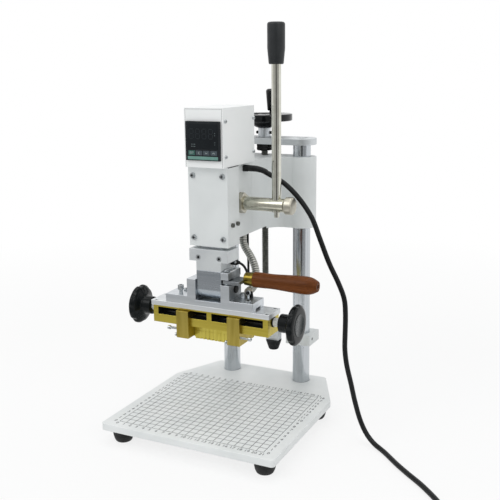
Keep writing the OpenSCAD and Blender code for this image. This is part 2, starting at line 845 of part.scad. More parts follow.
module crank_grip() {
  r = crank_grip_d / 2;
  foot_r = r - 2;
  top = [r - crank_round, crank_grip_h - crank_round];
  profile = concat(
    [[0, 0], [foot_r - 1, 0], [foot_r, 1.5]],
    [for (a = [0:15:90]) top + crank_round * [cos(a), sin(a)]],
    [[0, crank_grip_h]]
  );
  color("black") translate([0, col_y + crank_r, crank_grip_low]) difference() {
    rotate_extrude() polygon(profile);
    translate([0, 0, -over]) cylinder(h = pin_top + 2 * over - crank_grip_low, r = crank_pin_d / 2 + run);
  }
}

// The carriage and the ram housing
module web_shape() {
  front = -web_t / 2;
  square([column_gap, web_t], center = true);
  for (s = [-1, 1]) translate([s * col_x, 0]) circle(lobe_r);
  for (m = [0, 1]) mirror([m, 0]) translate([arm_x, front - arm_fillet]) difference() {
    square(arm_fillet + over);
    translate([arm_fillet, 0]) circle(arm_fillet);
    translate([arm_fillet, -over]) square([over * 2, arm_fillet + over]);
  }
}

module carriage() {
  color("whitesmoke") difference() {
    union() {
      translate([0, col_y, carriage_low]) linear_extrude(carriage_h) web_shape();
      span([-arm_x, arm_y, arm_low], [arm_x, col_y, carriage_top]);
    }
    at_columns() translate([0, 0, carriage_low - over])
      cylinder(h = carriage_h + 2 * over, r = column_d / 2 + run);
    translate([0, col_y, carriage_low - over]) cylinder(h = carriage_h + 2 * over, r = screw_d / 2 + run);
  }
}

module cover_screw_places() {
  for (s = [-1, 1], z = [housing_low + cover_screw_edge, housing_top - cover_screw_edge])
    translate([s * cover_screw_x, cover_front, z]) rotate([90, 0, 0]) children();
}

module gib_screw_places() {
  for (s = [-1, 1], y = gib_y) translate([s * housing_w / 2, y, gib_z]) rotate([0, s * 90, 0]) children();
}

module ram_housing() {
  slot_x = ram_w / 2 + run;
  slot_top = block_top + ram_len + slot_spare;
  color("whitesmoke") difference() {
    union() {
      translate([0, (housing_front + housing_back) / 2, housing_low])
        linear_extrude(housing_top - housing_low) square([housing_w, housing_d], center = true);
      span([-arm_x, housing_back - over, arm_low], [arm_x, arm_y, housing_top]);
    }
    span([-slot_x, ram_front - run, housing_low - over], [slot_x, ram_back + run, slot_top]);
    rod_on_x(-pinion_r - over, arm_x + over, chamber_r, lever_y, lever_z);
    rod_on_x(-pinion_r - journal_len - over, 0, journal_d / 2 + run, lever_y, lever_z);
    cover_screw_places() pilot_hole(pilot_depth);
    gib_screw_places() pilot_hole(pilot_depth);
  }
}

module front_cover() {
  color("whitesmoke") difference() {
    span([-housing_w / 2, cover_front, housing_low], [housing_w / 2, housing_front, housing_top]);
    cover_screw_places() pilot_hole(pilot_depth);
  }
}

module cover_screws() {
  color("silver") cover_screw_places() pan_screw(cover_screw_d, pilot_depth - 2);
}

module gib_screws() {
  color("dimgray") gib_screw_places() cap_screw(gib_screw_d, gib_head, pilot_d, pilot_depth - 1);
}

module shaft_bush() {
  color("silver") difference() {
    union() {
      rod_on_x(arm_x - bush_neck, arm_x, chamber_r - fit, lever_y, lever_z);
      translate([arm_x, lever_y, lever_z]) rotate([0, 90, 0])
        cylinder(h = bush_t, d = bush_hex / cos(30), $fn = 6);
    }
    rod_on_x(arm_x - bush_neck - over, arm_x + bush_t + over, shaft_d / 2 + run, lever_y, lever_z);
  }
}

// The control box
module box_screw_places() {
  for (s = [-1, 1], y = box_screw_y, z = box_screw_z)
    translate([s * box_w / 2, y, z]) rotate([0, s * 90, 0]) children();
}

module box_chassis() {
  half = chassis_w / 2;
  top = box_top - sheet_t - fit;
  opening = body_side / 2 + air;
  color("whitesmoke") difference() {
    union() {
      span([-half, box_front, box_low], [half, box_front + sheet_t, top]);
      span([-half, box_back - sheet_t, box_low], [half, box_back, top]);
      span([-half, box_front, box_low], [half, box_back, box_low + sheet_t]);
      for (x = [-half, half - sheet_t], y = [box_front, box_back - flange_w])
        span([x, y, box_low], [x + sheet_t, y + flange_w, top]);
    }
    span(
      [-opening, box_front - over, body_low - air],
      [opening, box_front + sheet_t + over, body_low + body_side + air]
    );
    box_screw_places() pilot_hole(4 * sheet_t);
  }
}

module box_cover() {
  half = box_w / 2;
  color("whitesmoke") difference() {
    union() {
      span([-half, box_front, box_top - sheet_t], [half, box_back, box_top]);
      for (x = [-half, half - sheet_t]) span([x, box_front, box_low], [x + sheet_t, box_back, box_top]);
    }
    box_screw_places() pilot_hole(4 * sheet_t);
  }
}

module box_screws() {
  color("silver") box_screw_places() pan_screw(box_screw_d, 2 * sheet_t);
}

module key_places(slot) {
  translate([(slot - 1.5) * key_pitch, 0, key_z]) children();
}

module temperature_controller() {
  pocket = [key_w + key_play, key_depth + key_travel + air, key_h + key_play];
  color([0.12, 0.12, 0.13]) difference() {
    union() {
      span([-bezel / 2, bezel_front, bezel_low], [bezel / 2, box_front, bezel_low + bezel]);
      span(
        [-body_side / 2, box_front, body_low],
        [body_side / 2, box_front + body_len, body_low + body_side]
      );
    }
    for (slot = [0:3]) key_places(slot)
      translate([-pocket[0] / 2, bezel_front - over, -pocket[2] / 2]) cube(pocket + [0, over, 0]);
  }
}

module key(slot) {
  color([0.2, 0.27, 0.25]) key_places(slot)
    translate([-key_w / 2, bezel_front - key_proud, -key_h / 2]) cube([key_w, key_depth + key_proud, key_h]);
}

module mains_gland() {
  color("black") translate([arm_x, gland_y, gland_z]) rotate([0, 90, 0]) {
    cylinder(h = gland_len / 2, d = gland_d);
    translate([0, 0, gland_len / 2]) cylinder(h = gland_len / 2, d1 = gland_d - 1.5, d2 = gland_d - 3.5);
  }
}

// The lever
module lever_shaft() {
  color("silver") difference() {
    union() {
      rod_on_x(journal_out - journal_len, journal_out, journal_d / 2, lever_y, lever_z);
      rod_on_x(journal_out, arm_x - bush_neck - air, pinion_r, lever_y, lever_z);
      rod_on_x(arm_x - bush_neck - air, shaft_end, shaft_d / 2, lever_y, lever_z);
    }
    translate([rod_x, lever_y, lever_z - shaft_d]) cylinder(h = 2 * shaft_d, r = rod_d / 2 + fit);
  }
}

module lever_rod() {
  low = lever_z - shaft_d / 2;
  color("silver") translate([rod_x, lever_y, 0]) {
    translate([0, 0, low]) cylinder(h = grip_low + grip_len / 2 - low, d = rod_d);
    translate([0, 0, low - rod_stud]) cylinder(h = rod_stud, d = rod_stud_d);
  }
}

module lever_grip() {
  r = grip_d / 2;
  low_r = grip_low_d / 2;
  top = [r - grip_round, grip_len - grip_round];
  profile = concat(
    [[0, 0], [low_r - 1, 0], [low_r, 1], [r, grip_len * 0.38]],
    [for (a = [0:15:90]) top + grip_round * [cos(a), sin(a)]],
    [[0, grip_len]]
  );
  color("black") translate([rod_x, lever_y, grip_low]) difference() {
    rotate_extrude() polygon(profile);
    translate([0, 0, -over]) cylinder(h = grip_len / 2 + over, r = rod_d / 2 + fit);
  }
}

module shaft_cap() {
  neck = 0.8;
  neck_r = shaft_d / 2 - 1.2;
  edge = 1.5;
  r = cap_d / 2;
  profile = [
    [0, 0], [neck_r, 0], [neck_r, neck], [r - edge, neck], [r, neck + edge], [r, cap_len - edge],
    [r - edge, cap_len], [0, cap_len]
  ];
  color("silver") translate([shaft_end, lever_y, lever_z]) rotate([0, 90, 0])
    rotate_extrude() polygon(profile);
}

// The ram and its head
module ram() {
  color("silver") span([-ram_w / 2, ram_front, block_top], [ram_w / 2, ram_back, block_top + ram_len]);
}

module block_screw_places() {
  for (s = [-1, 1]) translate([s * block_screw_x, head_y - barrel_r, block_screw_z])
    rotate([90, 0, 0]) children();
}

module ram_block() {
  front = head_y - barrel_r;
  back = head_y + barrel_r;
  color("whitesmoke") difference() {
    union() {
      span([-block_w / 2, front, block_low], [block_w / 2, back, block_top]);
      span([-neck_w / 2, front, neck_low], [neck_w / 2, back, block_low + over]);
    }
    block_screw_places() {
      pilot_hole(block_screw_sink + pilot_depth);
      head_sink(block_screw_d, block_screw_sink);
    }
  }
}

module block_screws() {
  color("dimgray") block_screw_places() translate([0, 0, -block_screw_sink])
    cap_screw(block_screw_d, block_screw_sink - 0.4, pilot_d, pilot_depth - 2);
}

module tongue() {
  half = neck_w / 2;
  color("lightgray") difference() {
    union() {
      span([-half, head_y - barrel_r, pin_z], [half, head_y + barrel_r, neck_low]);
      rod_on_x(-half, half, barrel_r, head_y, pin_z);
    }
    rod_on_x(-half - over, half + over, pin_d / 2 + run, head_y, pin_z);
  }
}

// The tipping head
module base_screw_hole(at) {
  translate([at[0], clevis_front + at[1], clevis_top - 2 * base_screw_depth])
    cylinder(h = 4 * base_screw_depth, r = shank_hole);
}

module cap_screw_places() {
  for (y = cap_screw_y) translate([cap_mid, y, cap_low + cap_t]) children();
}

module clevis() {
  half = clevis_w / 2;
  slot_y = [clevis_front + base_slot[1], clevis_front + base_slot[2]];
  color("lightgray") difference() {
    union() {
      span([-half, clevis_front, clevis_low], [half, clevis_back, clevis_top]);
      span([-ear_out, clevis_front, clevis_low], [-ear_in, clevis_back, pin_z + left_ear_h]);
      span([ear_in, clevis_front, clevis_low], [ear_out, clevis_back, right_ear_top]);
      span([cap_in, land_front, pin_z], [cap_out, clevis_back, cap_low]);
    }
    span([-ear_in, clevis_front - over, floor_z], [ear_in, clevis_back + over, pin_z + barrel_d]);
    span(
      [half - base_slot[0], slot_y[0], clevis_low - over], [half + over, slot_y[1], clevis_low + base_slot[3]]
    );
    rod_on_x(-ear_out - over, ear_out + over, pin_d / 2 + fit, head_y, pin_z);
    for (at = base_screw_at) base_screw_hole(at);
    cap_screw_places() translate([0, 0, -cap_screw_len - cap_sink])
      cylinder(h = 2 * cap_screw_len, r = shank_hole);
  }
}

module clevis_screws() {
  color("silver") {
    for (at = base_screw_at) translate([at[0], clevis_front + at[1], clevis_top + at[2]])
      cap_screw(base_screw_d, at[2] > 1 ? 6 : 2, 2 * (shank_hole - fit), at[2] + base_screw_depth);
    cap_screw_places() translate([0, 0, -cap_sink])
      cap_screw(cap_screw_d, cap_sink - 0.2, 2 * (shank_hole - fit), cap_screw_len - over);
  }
}

module hinge_pin() {
  color("silver") rod_on_x(-pin_out, pin_out, pin_d / 2, head_y, pin_z);
}

module clamp_cap() {
  color("gray") difference() {
    span([cap_in, clevis_front + 1, cap_low], [cap_out, clevis_back + 2, cap_low + cap_t]);
    cap_screw_places() {
      translate([0, 0, -cap_screw_len]) cylinder(h = 2 * cap_screw_len, r = shank_hole);
      head_sink(cap_screw_d, cap_sink);
    }
  }
}

module handle_shank() {
  top = handle_z - shank_drop;
  front = clevis_front + shank_lead;
  color("gray") difference() {
    union() {
      span([cap_in + shank_inset, front, top - shank_h], [ferrule_x, land_front - fit, top]);
      span([cap_out + fit, land_front - fit, top - shank_h], [ferrule_x, front + shank_d, top]);
    }
    cap_screw_places() translate([0, 0, -cap_screw_len - cap_sink])
      cylinder(h = 2 * cap_screw_len, r = shank_hole);
  }
}

module ferrule() {
  color("goldenrod") translate([ferrule_x, handle_y, handle_z]) rotate([0, 90, 0])
    cylinder(h = ferrule_len, d1 = ferrule_d - ferrule_taper, d2 = ferrule_d);
}

module wooden_handle() {
  knots = [
    [ferrule_d / 2 + 0.8, 0], [ferrule_d / 2 + 0.7, handle_len * 0.1], [handle_waist_d / 2, handle_len * 0.3],
    [(handle_waist_d + handle_d) / 4, handle_len * 0.52], [handle_d / 2, handle_len * 0.77],
    [handle_d * 0.46, handle_len * 0.9], [handle_end_d / 2, handle_len]
  ];
  color("saddlebrown") translate([wood_x, handle_y, handle_z]) rotate([0, 90, 0]) difference() {
    rotate_extrude() polygon(concat([[0, 0]], path(knots, 24), [[0, handle_len]]));
    translate([0, 0, handle_len - hang_hole[1]]) cylinder(h = 2 * hang_hole[1], r = hang_hole[0]);
  }
}

module plate_screw_places() {
  for (s = [-1, 1], y = plate_screw_y) translate([s * plate_screw_x, y, clevis_low]) children();
}

module heater_plate() {
  color("lightgray") difference() {
    span([-heater_w / 2, clevis_front, heater_low], [heater_w / 2, clevis_back, clevis_low]);
    plate_screw_places() {
      pilot_hole(2 * pilot_depth);
      head_sink(plate_screw_d, cap_sink);
    }
  }
}

module plate_screws() {
  color("dimgray") plate_screw_places() translate([0, 0, -cap_sink])
    cap_screw(plate_screw_d, cap_sink - 0.3, pilot_d, pilot_depth);
}

module type_holder() {
  half = holder_w / 2;
  color("goldenrod") difference() {
    span([-half, holder_front, holder_low], [half, holder_back, heater_low]);
    pair() span(
      [centre_post / 2, holder_front - over, rail_top], [half - end_post, holder_back + over, window_top]
    );
    pair() rod_on_x(half - end_post - over, half + over, thread_d / 2 + run, spindle_y, spindle_z);
    pair() rod_on_x(journal_in - air, centre_post, spindle_journal_d / 2 + run, spindle_y, spindle_z);
    plate_screw_places() pilot_hole(2 * pilot_depth);
  }
}

module type_letters() {
  half = [(type_w - type_gap) / 2, type_d / 2];
  foot = half - [type_face[0], type_face[1]];
  shoulder = type_face[2] - type_h;
  color("goldenrod") for (i = [0:type_n - 1])
    translate([(i + 0.5) * type_w - type_half, spindle_y, holder_low]) {
      span([-half[0], -half[1], shoulder], [half[0], half[1], 0]);
      span([-foot[0], -foot[1], -type_h], [foot[0], foot[1], shoulder]);
    }
}

module jaw() {
  color("goldenrod") difference() {
    span(
      [jaw_in, holder_front - jaw_play - jaw_wall, holder_low - jaw_play - jaw_sole],
      [jaw_in + jaw_w, holder_back + jaw_play + jaw_wall, window_top - air]
    );
    span(
      [jaw_in - over, holder_front - jaw_play, holder_low - jaw_play],
      [jaw_in + jaw_w + over, holder_back + jaw_play, rail_top + jaw_play]
    );
    rod_on_x(jaw_in - over, jaw_in + jaw_w + over, thread_d / 2 + run, spindle_y, spindle_z);
  }
}

module spindle() {
  color("silver") {
    rod_on_x(journal_in, centre_post / 2 + air, spindle_journal_d / 2, spindle_y, spindle_z);
    rod_on_x(centre_post / 2 + air, spindle_out, thread_d / 2, spindle_y, spindle_z);
    rod_on_x(spindle_out, spindle_out + flange_t, flange_d / 2, spindle_y, spindle_z);
    rod_on_x(spindle_out + flange_t, knob_bore_end, spindle_d / 2, spindle_y, spindle_z);
  }
}

module knob() {
  profile = [
    [0, 0], [knob_hub_d / 2, 0], [knob_hub_d / 2, knob_hub_len],
    [knob_r * 0.78, knob_hub_len + knob_t * 0.35], [knob_r * 0.96, knob_hub_len + knob_t * 0.58],
    [knob_r, knob_hub_len + knob_t * 0.7],
    [knob_r, knob_face - knob_t * 0.15], [knob_r * 0.95, knob_face], [0, knob_face]
  ];
  color("black") difference() {
    translate([knob_in, spindle_y, spindle_z]) rotate([0, 90, 0]) difference() {
      rotate_extrude() polygon(profile);
      for (i = [0:knob_lobes - 1]) rotate(360 * i / knob_lobes)
        translate([knob_r + flute_r - flute_depth, 0, knob_hub_len]) cylinder(h = knob_t + over, r = flute_r);
    }
    rod_on_x(knob_in - over, knob_bore_end, spindle_d / 2 + fit, spindle_y, spindle_z);
  }
}

module heater_terminals() {
  color("ivory") span(
    [terminal_x[0], terminal_y[0], clevis_top], [terminal_x[1], terminal_y[1], clevis_top + terminal_h]
  );
}

// The leads
module mains_lead() {
  color("black") sweep(path(mains_route, 81), cord_d / 2, 8, [0, 1, 0]);
}

module mains_coil() {
  color("black") sweep(coil_path, cord_d / 2, 6, [0, 0, 1]);
}

module mains_plug() {
  relief = 16;
  body = [34, 26, 20];
  blade = [18, 1.6, 6.4];
  blade_gap = 12.7;
  color("black") translate(coil_end + tail_len * coil_dir) rotate([0, 0, atan2(coil_dir[1], coil_dir[0])]) {
    rotate([0, 90, 0]) cylinder(h = relief, d1 = cord_d + 2, d2 = cord_d + 7);
    translate([relief, -body[1] / 2, -body[2] / 2]) cube(body);
    for (y = [-blade_gap / 2, blade_gap / 2])
      translate([relief + body[0], y - blade[1] / 2, -blade[2] / 2]) cube(blade);
  }
}

module conduit() {
  sides = 8;
  rings = 2 * conduit_ribs;
  p = path(conduit_route, rings - 1);
  groove = 0.7;
  outer = [for (i = [0:rings - 1]) each ring(p, i, conduit_d / 2 - (i % 2) * groove, sides, [1, 0, 0])];
  inner = [for (i = [0:rings - 1]) each ring(p, i, conduit_bore / 2, sides, [1, 0, 0])];
  count = rings * sides;
  faces = concat(
    skin(rings, sides, 0, false), skin(rings, sides, count, true),
    end_ring(0, count, sides, false), end_ring(count - sides, 2 * count - sides, sides, true)
  );
  color("silver") polyhedron(concat(outer, inner), faces);
}

module sensor_lead() {
  color("black") sweep(path(sensor_route, 39), sensor_d / 2, 8, [0, 1, 0]);
}

base_plate();
feet();
columns();
column_screws();
crossbar();
column_collars();
stop_arm();
stop_bumper();
lead_screw();
thrust_collar();
hub_sleeve();
handwheel();
crank_pin();
crank_grip();
carriage();
ram_housing();
front_cover();
cover_screws();
gib_screws();
shaft_bush();
box_chassis();
box_cover();
box_screws();
temperature_controller();
mains_gland();
key(0);  // key_set
key(1);  // key_left
key(2);  // key_down
key(3);  // key_up
lever_shaft();
lever_rod();
lever_grip();
shaft_cap();
ram();
ram_block();
block_screws();
tongue();
clevis();
clevis_screws();
hinge_pin();
clamp_cap();
handle_shank();
ferrule();
wooden_handle();
heater_plate();
plate_screws();
type_holder();
type_letters();
heater_terminals();
mirror([1, 0, 0]) jaw();  // left_jaw
jaw();  // right_jaw
mirror([1, 0, 0]) spindle();  // left_spindle
mirror([1, 0, 0]) knob();  // left_knob
spindle();  // right_spindle
knob();  // right_knob
mains_lead();
mains_coil();
mains_plug();
conduit();
sensor_lead();
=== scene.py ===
import json
import math

import bmesh
import bpy
from mathutils import Matrix, Vector
from mathutils.kdtree import KDTree

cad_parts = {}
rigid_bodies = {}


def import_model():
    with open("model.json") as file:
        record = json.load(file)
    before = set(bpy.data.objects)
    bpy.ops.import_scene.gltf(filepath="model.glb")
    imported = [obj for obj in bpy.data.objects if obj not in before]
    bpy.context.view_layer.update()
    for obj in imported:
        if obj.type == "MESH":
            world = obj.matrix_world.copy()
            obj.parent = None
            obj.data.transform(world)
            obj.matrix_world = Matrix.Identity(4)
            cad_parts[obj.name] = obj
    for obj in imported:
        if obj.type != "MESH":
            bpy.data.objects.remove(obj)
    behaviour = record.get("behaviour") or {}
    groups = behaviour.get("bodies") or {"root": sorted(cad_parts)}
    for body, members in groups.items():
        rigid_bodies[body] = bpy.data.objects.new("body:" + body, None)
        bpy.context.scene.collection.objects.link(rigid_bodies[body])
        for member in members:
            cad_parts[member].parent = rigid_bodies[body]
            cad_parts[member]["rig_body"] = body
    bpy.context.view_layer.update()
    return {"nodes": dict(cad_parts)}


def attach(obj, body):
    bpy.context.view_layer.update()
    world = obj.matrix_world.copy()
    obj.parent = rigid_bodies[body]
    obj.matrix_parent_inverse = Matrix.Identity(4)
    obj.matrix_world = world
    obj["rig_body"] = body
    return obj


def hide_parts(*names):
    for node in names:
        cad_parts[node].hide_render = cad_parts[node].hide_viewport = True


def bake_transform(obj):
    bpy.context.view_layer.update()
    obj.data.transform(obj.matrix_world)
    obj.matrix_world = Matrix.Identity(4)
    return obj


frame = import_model()
scene = bpy.context.scene
scene.view_settings.view_transform = "Standard"
mm = 0.001
metre = 1000  # mm
weld = 1e-7  # m: points this close become one
print("frame loaded:", len(frame["nodes"]), "nodes")

# the camera stands where the photograph was taken from
photoCamera = {
    "eye": (480.6, -914.3, 481.3),  # mm
    "azimuth": 25.80, "elevation": 12.97, "roll": -0.52,  # degrees
    "focalPixels": 790.72, "centrePixel": (255.52, 251.23), "imagePixels": 500,
    "sensor": 36.0, "nearest": 10.0,  # mm
}


def makeCamera(view):
    azimuth, elevation, roll = (math.radians(view[k]) for k in ("azimuth", "elevation", "roll"))
    flat = math.cos(elevation)
    back = Vector((math.sin(azimuth) * flat, -math.cos(azimuth) * flat, math.sin(elevation)))
    right = Vector((0, 0, 1)).cross(back).normalized()
    up = back.cross(right)
    tiltedRight = right * math.cos(roll) + up * math.sin(roll)
    tiltedUp = up * math.cos(roll) - right * math.sin(roll)
    lens = bpy.data.cameras.new("photoCamera")
    lens.sensor_width = view["sensor"]
    lens.lens = view["focalPixels"] * view["sensor"] / view["imagePixels"]
    lens.shift_x = (view["imagePixels"] / 2 - view["centrePixel"][0]) / view["imagePixels"]
    lens.shift_y = (view["centrePixel"][1] - view["imagePixels"] / 2) / view["imagePixels"]
    lens.clip_start = view["nearest"] * mm
    camera = bpy.data.objects.new("photoCamera", lens)
    scene.collection.objects.link(camera)
    place = Matrix((tiltedRight, tiltedUp, back)).transposed().to_4x4()
    place.translation = Vector(view["eye"]) * mm
    camera.matrix_world = place
    scene.camera = camera


makeCamera(photoCamera)
print("camera ready")


# materials: one function for colours, one for nodes, and a list of finishes
def hexToLinear(code):
    parts = [int(code[i:i + 2], 16) / 255 for i in (1, 3, 5)]
    return [p / 12.92 if p <= 0.04045 else ((p + 0.055) / 1.055) ** 2.4 for p in parts] + [1.0]


def addNode(tree, kind, inputs=None, **settings):
    node = tree.nodes.new(kind)
    for key, value in settings.items():
        setattr(node, key, value)
    for key, value in (inputs or {}).items():
        if isinstance(value, bpy.types.NodeSocket):
            tree.links.new(value, node.inputs[key])
        else:
            node.inputs[key].default_value = value
    return node


def startMaterial(name, sockets):
    material = bpy.data.materials.new(name)
    material.use_nodes = True
    shader = material.node_tree.nodes["Principled BSDF"]
    for key, value in sockets.items():
        shader.inputs[key].default_value = value
    return material, material.node_tree, shader


